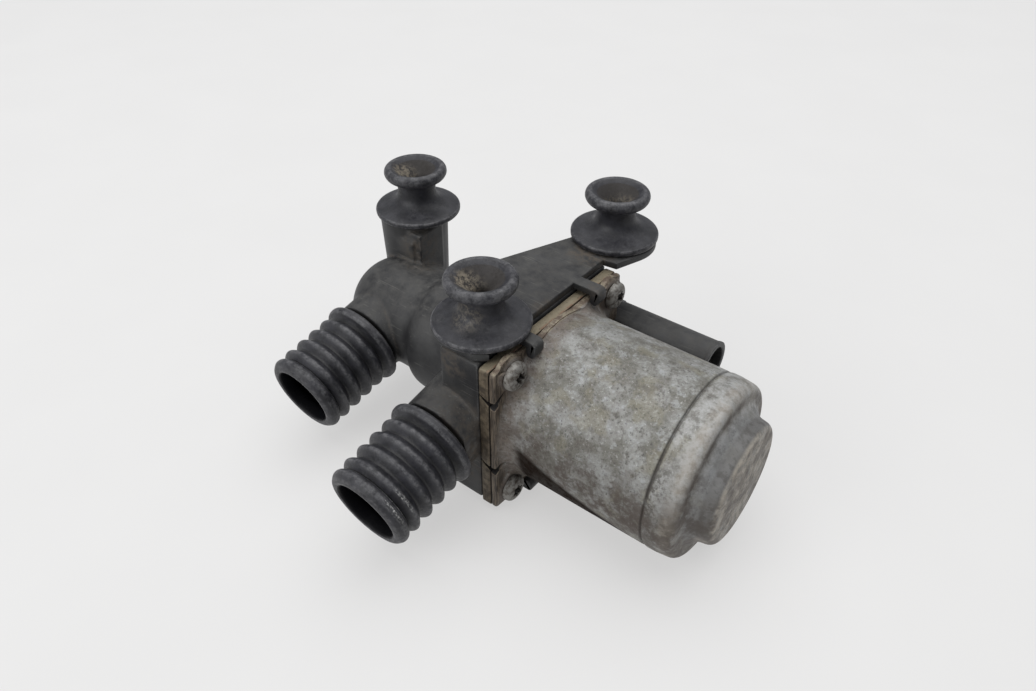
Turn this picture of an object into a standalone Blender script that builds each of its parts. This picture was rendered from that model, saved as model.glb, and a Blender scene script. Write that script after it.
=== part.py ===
"""Solenoid valve: a drawn-steel solenoid on a moulded two-port valve body.

The model is in metres, +Z up. The solenoid's axis runs along X, from the valve body at -X to the
can's end boss at +X, and both ports point to -Y. Lengths along the solenoid are measured from the
front face of the can's flange, at x = 0, and heights from the table to within half a millimetre. The
root empty then moves the whole assembly so that the middle of its footprint stands on the origin.
"""

import math

import bmesh
import bpy
from mathutils import Vector

MM = 0.001
GAP = 0.3 * MM
COARSE, MEDIUM, FINE = 16, 24, 32

# Solenoid can, with its flange
CAN_Z = 25.3 * MM
CAN_R = 25.0 * MM
CAN_WALL = 1.6 * MM
CAN_END = 51.8 * MM
CAN_SHOULDER_R = 4.0 * MM
CAN_GROOVE_X = 43.5 * MM
BOSS_R = 17.2 * MM
BOSS_FOOT = 54.8 * MM
BOSS_END = 59.2 * MM
BOSS_CROWN = 0.9 * MM
BOSS_EDGE_R = 2.6 * MM

FLANGE_Y = (-27.7 * MM, 31.0 * MM)
FLANGE_Z = (-0.4 * MM, 49.6 * MM)
FLANGE_T = 2.5 * MM
FLANGE_CORNER_R = 4.0 * MM
YOKE_T = 2.5 * MM
YOKE_X = -FLANGE_T - GAP
BODY_FACE_X = YOKE_X - YOKE_T - GAP

# Screws: the (y, z) of each, one in each corner of the flange
SCREW_AT = (
    (-22.2 * MM, 5.2 * MM),
    (-21.4 * MM, 46.4 * MM),
    (25.5 * MM, 5.2 * MM),
    (25.5 * MM, 45.4 * MM),
)
SCREW_R = 2.0 * MM
SCREW_HOLE_R = SCREW_R + GAP
SCREW_LENGTH = 15.0 * MM
SCREW_HEAD_R = 4.1 * MM
SCREW_HEAD_T = 2.4 * MM
SCREW_BOSS_R = 5.3 * MM
SCREW_BOSS_T = 1.4 * MM

# Moulded body
BOX_X = (-17.6 * MM, BODY_FACE_X)
BOX_Z = (0.6 * MM, 50.3 * MM)
TUBE_Y = 2.6 * MM
TUBE_Z = 25.7 * MM
TUBE_R = 16.5 * MM
DOME_X = -62.3 * MM
CHAMBER_X = (-46.0 * MM, -12.0 * MM)
CHAMBER_R = 19.6 * MM
CHAMBER_RISE = 4.5 * MM
BORE_R = 11.5 * MM
FACE_GROOVE_R = (14.0 * MM, 16.5 * MM)
FACE_GROOVE_DEPTH = 1.0 * MM

# Ports: the centre of each bellows' mouth, and how far the ports droop from the horizontal
PORT_DROOP = math.radians(11.2)
PORT_MOUTH = ((-61.7 * MM, -42.4 * MM, 17.9 * MM), (-15.3 * MM, -61.0 * MM, 18.0 * MM))
PORT_BORE_R = 7.0 * MM
SPIGOT_R = 9.0 * MM
SPIGOT_START = 19.5 * MM
STUB_R = 11.8 * MM
STUB_START = 28.3 * MM
PORT_REACH = (42.0 * MM, 58.0 * MM)

# Bellows, along the port from its mouth
BELLOWS_LENGTH = 27.4 * MM
BELLOWS_PITCH = 4.77 * MM
BELLOWS_COLLAR = 25.5 * MM
BELLOWS_COLLAR_R = 13.6 * MM
BELLOWS_CREST_R = 12.8 * MM
BELLOWS_ROOT_R = 11.0 * MM
BELLOWS_MOUTH_R = 12.3 * MM
BELLOWS_MOUTH_T = 3.4 * MM
BELLOWS_BORE_R = 9.3 * MM
BELLOWS_WALL = 1.7 * MM
CONVOLUTIONS = 4

# Isolators and what carries them: one on the body's post, two on the bracket
PLATE_Z = (50.6 * MM, 52.9 * MM)
ISOLATOR_AT = ((-67.1 * MM, 17.2 * MM), (-9.8 * MM, 42.7 * MM), (-12.6 * MM, -16.5 * MM))
ISOLATOR_Z = PLATE_Z[1] + GAP
ISOLATOR_RING_R = 9.66 * MM
ISOLATOR_NECK_R = 6.1 * MM
ISOLATOR_DISC_R = 13.3 * MM
ISOLATOR_HEIGHT = 15.2 * MM
PEG_R = 3.4 * MM
PEG_TOP = PLATE_Z[1] + 10.0 * MM
POST_AT = (-68.3 * MM, 16.3 * MM)
POST_FOOT = 20.0 * MM
RIB_X = (-66.0 * MM, -57.4 * MM)
RIB_Y = (7.0 * MM, 17.5 * MM)
POST_R = (9.7 * MM, 10.7 * MM)

# Bracket plate over the box, out to isolator 2
PLATE_FRONT_X = -3.2 * MM
PLATE_BACK_X = -17.6 * MM
PLATE_WAIST = ((-28.9 * MM, 11.0 * MM), (-24.0 * MM, -8.0 * MM))
PLATE_PAD_R = 12.6 * MM
PLATE_PAD_TURN = 221
PLATE_EAR = (0.2 * MM, 30.2 * MM)
HOOK_Y = (-13.2 * MM, 16.0 * MM)
HOOK_W = 4.0 * MM
HOOK_T = 2.4 * MM
HOOK_TIP_X = 3.6 * MM
HOOK_TIP_Z = 48.1 * MM
LOW_HOOK_Z = (-2.4 * MM, -0.7 * MM, 1.4 * MM)

# Plug socket beside the can
SOCKET_AT = (35.0 * MM, 28.0 * MM)
SOCKET_R = 7.2 * MM
SOCKET_X = (-4.0 * MM, 31.8 * MM)
SOCKET_WALL = 1.5 * MM
SOCKET_DEPTH = 21.0 * MM
SOCKET_LIP = 0.3 * MM
SOCKET_ROOT_X = (-18.0 * MM, -2.0 * MM)
SOCKET_ROOT_Z = (19.0 * MM, 33.5 * MM)
PIN_R = 0.7 * MM
PIN_Z = (26.0 * MM, 30.0 * MM)
PIN_TIP_X = 20.0 * MM
PIN_TURN_X = -11.0 * MM
PIN_SOCKET_Y = 35.2 * MM
PIN_COIL_Y = 18.6 * MM
PIN_CHANNEL = 2.6 * MM

# Solenoid's inner parts
TUBE_IN_R = 8.2 * MM
TUBE_OUT_R = 8.9 * MM
TUBE_FLANGE_R = 11.2 * MM
PLUNGER_R = 7.9 * MM
PLUNGER_X = (1.6 * MM, 20.2 * MM)
POLE_X = 24.0 * MM
SPRING_POCKET_R = 5.0 * MM
SPRING_X = (12.0 * MM, 29.5 * MM)
SPRING_R = 3.9 * MM
SPRING_WIRE_R = 0.45 * MM
SPRING_TURNS = 6
BOBBIN_X = (-2.2 * MM, 48.3 * MM)
BOBBIN_R = (9.3 * MM, 10.6 * MM, 21.8 * MM)
BOBBIN_CHEEK = 1.8 * MM
COIL_R = (10.9 * MM, 20.8 * MM)

# Valve's inner parts: the disc is pulled onto the seat by TRAVEL
TRAVEL = 3.0 * MM
STEM_R = 1.6 * MM
STEM_BORE_R = STEM_R + GAP
STEM_X = (-46.5 * MM, 6.0 * MM)
SEAT_X = (-36.0 * MM, -33.0 * MM)
SEAT_LIP = 0.6 * MM
SEAT_BORE_R = 7.2 * MM
SEAL_FACE_X = SEAT_X[0] - SEAT_LIP - TRAVEL - 0.1 * MM
SEAL_T = 1.5 * MM
SEAL_R = 9.6 * MM
DISC_T = 2.4 * MM
DISC_R = 9.0 * MM
CLIP_T = 0.9 * MM
CLIP_R = 3.6 * MM

COLOURS = {
    "plastic": ((0.045, 0.047, 0.048), 0.55, 0.0),
    "rubber": ((0.030, 0.032, 0.036), 0.60, 0.0),
    "zinc": ((0.36, 0.35, 0.33), 0.48, 0.75),
    "tan_steel": ((0.30, 0.24, 0.17), 0.62, 0.35),
    "screw_steel": ((0.38, 0.38, 0.37), 0.38, 0.9),
    "bright_steel": ((0.55, 0.55, 0.55), 0.28, 1.0),
    "brass": ((0.62, 0.45, 0.20), 0.32, 1.0),
    "copper": ((0.62, 0.28, 0.14), 0.35, 1.0),
    "bobbin": ((0.62, 0.58, 0.48), 0.50, 0.0),
    "tin": ((0.62, 0.62, 0.60), 0.30, 1.0),
}


def clear_scene():
    for obj in list(bpy.data.objects):
        bpy.data.objects.remove(obj, do_unlink=True)


clear_scene()
parts = bpy.data.collections.new("solenoid_valve")
cutters = bpy.data.collections.new("solenoid_valve_cutters")
for collection in (parts, cutters):
    bpy.context.scene.collection.children.link(collection)
root = bpy.data.objects.new("solenoid_valve_root", None)
parts.objects.link(root)


def material(name):
    found = bpy.data.materials.get(name)
    if found:
        return found
    colour, roughness, metallic = COLOURS[name]
    made = bpy.data.materials.new(name)
    made.use_nodes = True
    shader = made.node_tree.nodes["Principled BSDF"]
    shader.inputs["Base Color"].default_value = (*colour, 1.0)
    shader.inputs["Roughness"].default_value = roughness
    shader.inputs["Metallic"].default_value = metallic
    return made


def place(obj, at=(0.0, 0.0, 0.0), along=(0.0, 0.0, 1.0)):
    """Puts the object's own Z axis along a direction, at a point of the assembly."""
    obj.location = at
    obj.rotation_euler = Vector((0.0, 0.0, 1.0)).rotation_difference(Vector(along)).to_euler()
    obj.parent = root
    return obj


def helper(obj):
    """A shape that a Boolean takes: it isn't a part itself."""
    for collection in list(obj.users_collection):
        collection.objects.unlink(obj)
    cutters.objects.link(obj)
    obj.hide_render = True
    obj.display_type = "WIRE"
    return obj


def part(obj, colour):
    """A part of the assembly, with its own copy of a material."""
    own = material(colour).copy()
    own.name = obj.name
    obj.data.materials.clear()
    obj.data.materials.append(own)
    return obj


def from_bmesh(name, shape):
    mesh = bpy.data.meshes.new(name)
    shape.to_mesh(mesh)
    shape.free()
    obj = bpy.data.objects.new(name, mesh)
    parts.objects.link(obj)
    return obj


def box(name, x, y, z, corner=0.0, corners_along=0):
    """A box between two x, two y and two z, with the edges along one axis rounded."""
    sides = [high - low for low, high in (x, y, z)]
    middle = [(low + high) / 2 for low, high in (x, y, z)]
    shape = bmesh.new()
    bmesh.ops.create_cube(shape, size=1.0)
    bmesh.ops.scale(shape, vec=sides, verts=shape.verts)
    if corner:
        across = [i for i in range(3) if i != corners_along]
        edges = [
            edge
            for edge in shape.edges
            if all(abs(edge.verts[0].co[i] - edge.verts[1].co[i]) < 1e-7 for i in across)
        ]
        bmesh.ops.bevel(shape, geom=edges, offset=corner, segments=4, profile=0.5, affect="EDGES")
    return place(from_bmesh(name, shape), middle)


def turned(name, profile, steps, at=(0.0, 0.0, 0.0), along=(0.0, 0.0, 1.0)):
    """A turned shape: (radius, height) points down the outer side, then up the inner side if hollow."""
    points = [(radius, 0.0, height) for radius, height in profile]
    hollow = all(radius > 0.0 for radius, _ in profile)
    edges = [(i, i + 1) for i in range(len(points) - 1)]
    if hollow:
        edges.append((len(points) - 1, 0))
    mesh = bpy.data.meshes.new(name)
    mesh.from_pydata(points, edges, [])
    obj = bpy.data.objects.new(name, mesh)
    parts.objects.link(obj)
    screw = obj.modifiers.new("Turn", "SCREW")
    screw.axis = "Z"
    screw.steps = steps
    screw.render_steps = steps
    screw.use_merge_vertices = True
    screw.merge_threshold = 1e-5
    screw.use_smooth_shade = True
    screw.use_normal_calculate = False
    return place(obj, at, along)


def ring(name, radii, heights, steps, at=(0.0, 0.0, 0.0), along=(0.0, 0.0, 1.0)):
    """A plain ring, or a plain disc if its inner radius is 0."""
    (inner, outer), (low, high) = radii, heights
    return turned(
        name, [(inner, high), (outer, high), (outer, low), (inner, low)], steps, at, along
    )


def arc(centre, radius, start, end, count):
    """Points of an arc, angles in degrees."""
    angles = [math.radians(start + (end - start) * i / (count - 1)) for i in range(count)]
    return [(centre[0] + radius * math.cos(a), centre[1] + radius * math.sin(a)) for a in angles]


def outline(name, points, thickness, at=(0.0, 0.0, 0.0), turn=(0.0, 0.0, 0.0)):
    """A flat outline, extruded half its thickness each way, and made a mesh for the Booleans."""
    curve = bpy.data.curves.new(name, "CURVE")
    curve.dimensions = "2D"
    curve.fill_mode = "BOTH"
    curve.extrude = thickness / 2
    spline = curve.splines.new("POLY")
    spline.points.add(len(points) - 1)
    for point, (x, y) in zip(spline.points, points):
        point.co = (x, y, 0.0, 1.0)
    spline.use_cyclic_u = True
    drawn = bpy.data.objects.new(name + "_outline", curve)
    parts.objects.link(drawn)
    drawn.location = at
    drawn.rotation_euler = turn
    drawn.parent = root
    bpy.context.view_layer.update()
    graph = bpy.context.evaluated_depsgraph_get()
    mesh = bpy.data.meshes.new_from_object(drawn.evaluated_get(graph))
    shape = bmesh.new()
    shape.from_mesh(mesh)
    bmesh.ops.remove_doubles(shape, verts=shape.verts, dist=1e-6)
    shape.to_mesh(mesh)
    shape.free()
    obj = bpy.data.objects.new(name, mesh)
    parts.objects.link(obj)
    obj.matrix_world = drawn.matrix_world
    obj.parent = root
    bpy.data.objects.remove(drawn)
    bpy.data.curves.remove(curve)
    return obj


def boolean(obj, operation, others):
    for other in others:
        modifier = obj.modifiers.new(f"{operation.title()} {other.name}", "BOOLEAN")
        modifier.operation = operation
        modifier.object = helper(other)
        modifier.solver = "EXACT"
    return obj


def join(obj, *others):
    return boolean(obj, "UNION", others)


def cut(obj, *others):
    return boolean(obj, "DIFFERENCE", others)


def screw_holes(name, x):
    """Cutters for the four screw holes, between two x."""
    return [
        ring(f"{name}_hole_{i}", (0.0, SCREW_HOLE_R), x, COARSE, (0.0, y, z), (1.0, 0.0, 0.0))
        for i, (y, z) in enumerate(SCREW_AT)
    ]


def dome(radius, count):
    """(radius, x) of the round end of the main tube, out to its tip on the axis."""
    return arc((0.0, DOME_X), radius, 0, -90, count)[:-1] + [(0.0, DOME_X - radius)]


def clear_of_face(number):
    """Cutter that keeps a port's stub just behind the box's front face."""
    x = (BODY_FACE_X - 0.5 * MM, 20.0 * MM)
    return box(f"body_port_trim_{number}", x, (-80.0 * MM, 40.0 * MM), (-20.0 * MM, 80.0 * MM))


def port_axis():
    """From the port's mouth towards the body."""
    return (0.0, math.cos(PORT_DROOP), math.sin(PORT_DROOP))


def peg(name, at):
    """The peg that an isolator is pushed onto."""
    profile = [
        (0.0, PEG_TOP),
        (PEG_R - 0.5 * MM, PEG_TOP),
        (PEG_R, PEG_TOP - 0.8 * MM),
        (PEG_R, PLATE_Z[0] + 1 * MM),
        (0.0, PLATE_Z[0] + 1 * MM),
    ]
    return turned(name, profile, COARSE, (*at, 0.0))


def make_body():
    """The moulded body: box, main tube with its dome, two port stubs and the post of isolator 1."""
    body = box("valve_body", BOX_X, FLANGE_Y, BOX_Z, 3.0 * MM, 0)
    tube = [(0.0, CHAMBER_X[1]), (CHAMBER_R, CHAMBER_X[1]), (CHAMBER_R, CHAMBER_X[0] + CHAMBER_RISE)]
    tube += [(TUBE_R, CHAMBER_X[0])] + dome(TUBE_R, 9)
    shapes = [turned("body_tube", tube, FINE, (0.0, TUBE_Y, TUBE_Z), (1.0, 0.0, 0.0))]
    for i, mouth in enumerate(PORT_MOUTH):
        profile = [
            (0.0, PORT_REACH[i]),
            (STUB_R, PORT_REACH[i]),
            (STUB_R, STUB_START),
            (SPIGOT_R, STUB_START),
            (SPIGOT_R, SPIGOT_START + 1.0 * MM),
            (SPIGOT_R - 0.7 * MM, SPIGOT_START),
            (0.0, SPIGOT_START),
        ]
        stub = turned(f"body_port_{i + 1}", profile, MEDIUM, mouth, port_axis())
        shapes.append(cut(stub, clear_of_face(i + 1)))
    post = [
        (0.0, PLATE_Z[1]),
        (POST_R[1], PLATE_Z[1]),
        (POST_R[0], POST_FOOT),
        (0.0, POST_FOOT),
    ]
    shapes.append(turned("body_post", post, MEDIUM, (*POST_AT, 0.0)))
    shapes.append(box("body_post_rib", RIB_X, RIB_Y, (TUBE_Z, PLATE_Z[1] - 2 * MM)))
    shapes.append(peg("body_peg", ISOLATOR_AT[0]))
    for i, y in enumerate(HOOK_Y):
        shapes.append(upright(f"body_hook_{i + 1}", low_hook_profile(), y))
    join(body, *shapes)

    axis = (0.0, 0.0, CAN_Z)
    bore = [(0.0, 2 * MM), (BORE_R, 2 * MM)] + dome(BORE_R, 7)
    holes = [turned("body_bore", bore, MEDIUM, axis, (1.0, 0.0, 0.0))]
    for i, mouth in enumerate(PORT_MOUTH):
        holes.append(
            ring(
                f"body_port_bore_{i + 1}",
                (0.0, PORT_BORE_R),
                (SPIGOT_START - 5 * MM, PORT_REACH[i] - 2 * MM),
                COARSE,
                mouth,
                port_axis(),
            )
        )
    groove_x = (BODY_FACE_X - FACE_GROOVE_DEPTH, BODY_FACE_X + 2 * MM)
    holes.append(ring("body_groove", FACE_GROOVE_R, groove_x, MEDIUM, axis, (1.0, 0.0, 0.0)))
    holes += screw_holes("body", (-20.0 * MM, 2.0 * MM))
    holes.append(pin_channel("body_pin_channel", (PIN_COIL_Y - PIN_CHANNEL / 2, 32.0 * MM)))
    holes.append(pin_mouth("body_pin_mouth", (PIN_TURN_X, 2.0 * MM)))
    return part(cut(body, *holes), "plastic")


def pin_channel(name, y):
    """Cutter for the way of both pins across, from the socket to the coil."""
    x = (PIN_TURN_X - PIN_CHANNEL / 2, PIN_TURN_X + PIN_CHANNEL / 2)
    return box(name, x, y, (PIN_Z[0] - PIN_CHANNEL / 2, PIN_Z[1] + PIN_CHANNEL / 2))


def pin_mouth(name, x):
    """Cutter for the way of both pins forwards, into the coil."""
    half = PIN_CHANNEL / 2 - GAP / 2
    return box(name, x, (PIN_COIL_Y - half, PIN_COIL_Y + half), (PIN_Z[0] - half, PIN_Z[1] + half))


def upright(name, profile, y):
    """A snap hook from its side view of (x, z) points."""
    return outline(name, profile, HOOK_W, (0.0, y, 0.0), (math.radians(90), 0.0, 0.0))


def low_hook_profile():
    """A snap hook under the flange, from the box's floor to a tip that rises in front of it."""
    low, arm_top, tip = LOW_HOOK_Z
    root_x = BODY_FACE_X - 4 * MM
    heel = 0.6 * MM
    return [
        (root_x, low),
        (HOOK_TIP_X - 0.8 * MM, low),
        (HOOK_TIP_X, low + 0.8 * MM),
        (HOOK_TIP_X, tip - 1.5 * MM),
        (HOOK_TIP_X - 1 * MM, tip),
        (heel, tip),
        (heel, arm_top),
        (BODY_FACE_X, arm_top),
        (BODY_FACE_X, BOX_Z[0] + 1 * MM),
        (root_x, BOX_Z[0] + 1 * MM),
    ]


def hook_profile():
    """The snap hook's side: an arm over the flange and a tip that drops in front of it."""
    top = PLATE_Z[0] + HOOK_T
    heel = 0.6 * MM
    return [
        (PLATE_FRONT_X - 3 * MM, PLATE_Z[0] + GAP / 2),
        (heel, PLATE_Z[0] + GAP / 2),
        (heel, HOOK_TIP_Z),
        (HOOK_TIP_X - 1 * MM, HOOK_TIP_Z),
        (HOOK_TIP_X, HOOK_TIP_Z + 1.5 * MM),
        (HOOK_TIP_X, top - 0.8 * MM),
        (HOOK_TIP_X - 0.8 * MM, top),
        (PLATE_FRONT_X - 3 * MM, top),
    ]


def make_bracket():
    """The moulded plate over the box, with two pegs and two snap hooks."""
    pad_x, pad_y = ISOLATOR_AT[1]
    points = [
        (PLATE_BACK_X, FLANGE_Y[0]),
        (PLATE_FRONT_X, FLANGE_Y[0]),
        (PLATE_FRONT_X, PLATE_EAR[1] - 3 * MM),
        PLATE_EAR,
    ]
    points += arc((pad_x, pad_y), PLATE_PAD_R, 0, PLATE_PAD_TURN, 15) + list(PLATE_WAIST)
    thickness = PLATE_Z[1] - PLATE_Z[0]
    plate = outline("mounting_bracket", points, thickness, (0.0, 0.0, sum(PLATE_Z) / 2))
    shapes = [peg(f"bracket_peg_{i + 2}", at) for i, at in enumerate(ISOLATOR_AT[1:])]
    for i, y in enumerate(HOOK_Y):
        shapes.append(upright(f"bracket_hook_{i + 1}", hook_profile(), y))
    return part(join(plate, *shapes), "plastic")


def make_yoke():
    """The flat steel plate that closes the magnetic circuit behind the can."""
    x = (YOKE_X - YOKE_T, YOKE_X)
    plate = box("yoke_plate", x, FLANGE_Y, FLANGE_Z, FLANGE_CORNER_R, 0)
    holes = screw_holes("yoke", (x[0] - 2 * MM, x[1] + 2 * MM))
    wide = TUBE_OUT_R + GAP
    long = (x[0] - 2 * MM, x[1] + 2 * MM)
    holes.append(ring("yoke_bore", (0.0, wide), long, MEDIUM, (0.0, 0.0, CAN_Z), (1.0, 0.0, 0.0)))
    holes.append(pin_mouth("yoke_pin_mouth", (x[0] - 2 * MM, x[1] + 2 * MM)))
    return part(cut(plate, *holes), "tan_steel")


def can_outside():
    """(radius, x) down the can's outer side, from its closed end to inside the flange."""
    edge = BOSS_EDGE_R
    boss = arc((BOSS_R - edge, BOSS_END - BOSS_CROWN - edge), edge, 90, 0, 5)
    shoulder = arc((CAN_R - CAN_SHOULDER_R, CAN_END - CAN_SHOULDER_R), CAN_SHOULDER_R, 90, 0, 6)
    groove = [
        (CAN_R, CAN_GROOVE_X + 0.6 * MM),
        (CAN_R - 0.4 * MM, CAN_GROOVE_X),
        (CAN_R, CAN_GROOVE_X - 0.6 * MM),
    ]
    points = [(0.0, BOSS_END)] + boss + [(BOSS_R, BOSS_FOOT)] + shoulder + groove
    return points + [(CAN_R, -1.2 * MM), (0.0, -1.2 * MM)]


def can_inside():
    """(radius, x) of the can's hollow, open through the flange's back."""
    inner = CAN_R - CAN_WALL
    floor = CAN_END - CAN_WALL
    boss = BOSS_R - CAN_WALL
    return [
        (0.0, BOSS_END - BOSS_CROWN - CAN_WALL),
        (boss - 0.6 * MM, BOSS_END - BOSS_CROWN - CAN_WALL),
        (boss, floor + 1.0 * MM),
        (boss, floor),
        (inner - 3 * MM, floor),
        (inner, floor - 3 * MM),
        (inner, -6 * MM),
        (0.0, -6 * MM),
    ]


def make_can():
    """The drawn steel can with its flange, a raised boss round each screw and the end boss."""
    can = box("solenoid_can", (-FLANGE_T, 0.0), FLANGE_Y, FLANGE_Z, FLANGE_CORNER_R, 0)
    axis = (0.0, 0.0, CAN_Z)
    shapes = [turned("can_outside", can_outside(), FINE, axis, (1.0, 0.0, 0.0))]
    for i, (y, z) in enumerate(SCREW_AT):
        boss = [
            (0.0, SCREW_BOSS_T),
            (SCREW_BOSS_R - 1 * MM, SCREW_BOSS_T),
            (SCREW_BOSS_R, -1.0 * MM),
            (0.0, -1.0 * MM),
        ]
        shapes.append(turned(f"can_screw_boss_{i}", boss, COARSE, (0.0, y, z), (1.0, 0.0, 0.0)))
    join(can, *shapes)
    holes = [turned("can_inside", can_inside(), FINE, axis, (1.0, 0.0, 0.0))]
    holes += screw_holes("can", (-6 * MM, 6 * MM))
    return part(cut(can, *holes), "zinc")


def make_screw(number, y, z):
    """A pan-head screw with a six-lobe socket."""
    seat = SCREW_BOSS_T + GAP / 2
    top = seat + SCREW_HEAD_T
    profile = [
        (0.0, top),
        (SCREW_HEAD_R * 0.62, top),
        (SCREW_HEAD_R * 0.9, top - 0.7 * MM),
        (SCREW_HEAD_R, seat + 0.5 * MM),
        (SCREW_HEAD_R, seat),
        (SCREW_R, seat),
        (SCREW_R, seat - SCREW_LENGTH + 1 * MM),
        (SCREW_R - 0.8 * MM, seat - SCREW_LENGTH),
        (0.0, seat - SCREW_LENGTH),
    ]
    at = (0.0, y, z)
    screw = turned(f"flange_screw_{number}", profile, COARSE, at, (1.0, 0.0, 0.0))
    socket = [
        (r * math.cos(a), r * math.sin(a))
        for i in range(12)
        for r, a in [((1.9 if i % 2 == 0 else 1.35) * MM, math.radians(30 * i))]
    ]
    turn = (math.radians(90), 0.0, math.radians(90))
    drill = outline(f"screw_socket_{number}", socket, 3.0 * MM, (top, y, z), turn)
    return part(cut(screw, drill), "screw_steel")


def isolator_profile():
    """(radius, height) round an isolator: ring, neck and flared disc, open down the middle."""
    top = ISOLATOR_HEIGHT
    ring_half = 1.8 * MM
    rim = arc((ISOLATOR_RING_R - ring_half, top - ring_half), ring_half, 90, -60, 6)
    return (
        [(1.7 * MM, top - 3.6 * MM), (3.4 * MM, top - 3.2 * MM), (5.6 * MM, top - 0.8 * MM)]
        + rim
        + [
            (ISOLATOR_NECK_R, top - 4.6 * MM),
            (ISOLATOR_NECK_R, 5.6 * MM),
            (ISOLATOR_NECK_R + 1.4 * MM, 3.6 * MM),
            (ISOLATOR_DISC_R - 1.2 * MM, 2.0 * MM),
            (ISOLATOR_DISC_R, 1.2 * MM),
            (ISOLATOR_DISC_R - 0.4 * MM, 0.0),
            (PEG_R + GAP, 0.0),
            (PEG_R + GAP, PEG_TOP - ISOLATOR_Z + GAP),
            (1.7 * MM, PEG_TOP - ISOLATOR_Z + GAP),
        ]
    )


def bellows_profile():
    """(radius, distance from the mouth) of a bellows, outside from collar to mouth, then the bore."""
    outside = [
        (BELLOWS_ROOT_R + 0.6 * MM, BELLOWS_LENGTH),
        (BELLOWS_COLLAR_R - 0.6 * MM, BELLOWS_LENGTH - 0.5 * MM),
        (BELLOWS_COLLAR_R, BELLOWS_COLLAR),
        (BELLOWS_COLLAR_R - 0.8 * MM, BELLOWS_COLLAR - 1.5 * MM),
    ]
    for i in range(CONVOLUTIONS):
        crest = BELLOWS_COLLAR - BELLOWS_PITCH * (i + 1)
        outside += [
            (BELLOWS_ROOT_R, crest + BELLOWS_PITCH / 2),
            (BELLOWS_CREST_R - 0.4 * MM, crest + 1.0 * MM),
            (BELLOWS_CREST_R - 0.4 * MM, crest - 1.0 * MM),
        ]
    outside += [
        (BELLOWS_ROOT_R, BELLOWS_MOUTH_T + 0.6 * MM),
        (BELLOWS_MOUTH_R, BELLOWS_MOUTH_T - 0.6 * MM),
        (BELLOWS_MOUTH_R, 0.8 * MM),
        (BELLOWS_MOUTH_R - 0.8 * MM, 0.0),
    ]
    bore = [(BELLOWS_BORE_R, 0.0), (BELLOWS_BORE_R, BELLOWS_MOUTH_T)]
    for i in reversed(range(1, CONVOLUTIONS)):
        crest = BELLOWS_COLLAR - BELLOWS_PITCH * (i + 1)
        bore += [
            (BELLOWS_CREST_R - BELLOWS_WALL, crest),
            (BELLOWS_BORE_R, crest + BELLOWS_PITCH / 2),
        ]
    return outside + bore + [(BELLOWS_BORE_R, BELLOWS_LENGTH)]


def make_socket():
    """The plug socket: a tube beside the can, open towards +X, on a root beside the box."""
    at, way = (0.0, *SOCKET_AT), (1.0, 0.0, 0.0)
    profile = [
        (0.0, SOCKET_X[1]),
        (SOCKET_R + SOCKET_LIP, SOCKET_X[1]),
        (SOCKET_R + SOCKET_LIP, SOCKET_X[1] - 0.8 * MM),
        (SOCKET_R, SOCKET_X[1] - 1.4 * MM),
        (SOCKET_R, SOCKET_X[0]),
        (0.0, SOCKET_X[0]),
    ]
    root_y = (FLANGE_Y[1] + GAP, SOCKET_AT[0] + SOCKET_R - 1 * MM)
    socket = box("connector_housing", SOCKET_ROOT_X, root_y, SOCKET_ROOT_Z, 2.0 * MM, 0)
    join(socket, turned("socket_tube", profile, MEDIUM, at, way))
    hollow_x = (SOCKET_X[1] - SOCKET_DEPTH, SOCKET_X[1] + 3 * MM)
    hollow = ring("socket_hollow", (0.0, SOCKET_R - SOCKET_WALL), hollow_x, MEDIUM, at, way)
    wide = PIN_R + GAP
    passages = [
        ring(
            f"socket_pin_way_{i}",
            (0.0, wide),
            (PIN_TURN_X, SOCKET_X[1] - SOCKET_DEPTH + 2 * MM),
            12,
            (0.0, PIN_SOCKET_Y, z),
            (1.0, 0.0, 0.0),
        )
        for i, z in enumerate(PIN_Z)
    ]
    channel = pin_channel("socket_pin_channel", (20.0 * MM, PIN_SOCKET_Y + PIN_CHANNEL / 2))
    beside = box("socket_flange_room", (-30.0 * MM, GAP), (10.0 * MM, root_y[0]), (0.0, 60.0 * MM))
    return part(cut(socket, hollow, channel, beside, *passages), "plastic")


def wire(name, points, radius, at=(0.0, 0.0, 0.0), along=(0.0, 0.0, 1.0)):
    """A round wire through the points."""
    curve = bpy.data.curves.new(name, "CURVE")
    curve.dimensions = "3D"
    curve.bevel_depth = radius
    curve.bevel_resolution = 2
    curve.use_fill_caps = True
    spline = curve.splines.new("POLY")
    spline.points.add(len(points) - 1)
    for point, co in zip(spline.points, points):
        point.co = (*co, 1.0)
    obj = bpy.data.objects.new(name, curve)
    parts.objects.link(obj)
    return place(obj, at, along)


def make_pin(number, z):
    """A plug pin that runs back through the socket's root, across and forwards into the coil."""
    points = [
        (PIN_TIP_X, PIN_SOCKET_Y, z),
        (PIN_TURN_X, PIN_SOCKET_Y, z),
        (PIN_TURN_X, PIN_COIL_Y, z),
        (BOBBIN_X[0] - 2 * GAP, PIN_COIL_Y, z),
    ]
    return part(wire(f"terminal_pin_{number}", points, PIN_R), "tin")


def make_spring():
    """The return spring, from the plunger's pocket to the core's."""
    per_turn = 10
    count = SPRING_TURNS * per_turn + 1
    low, high = SPRING_X
    points = [
        (
            SPRING_R * math.cos(2 * math.pi * i / per_turn),
            SPRING_R * math.sin(2 * math.pi * i / per_turn),
            low + (high - low) * i / (count - 1),
        )
        for i in range(count)
    ]
    spring = wire("return_spring", points, SPRING_WIRE_R, (0.0, 0.0, CAN_Z), (1.0, 0.0, 0.0))
    spring.data.bevel_resolution = 1
    return part(spring, "bright_steel")


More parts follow.
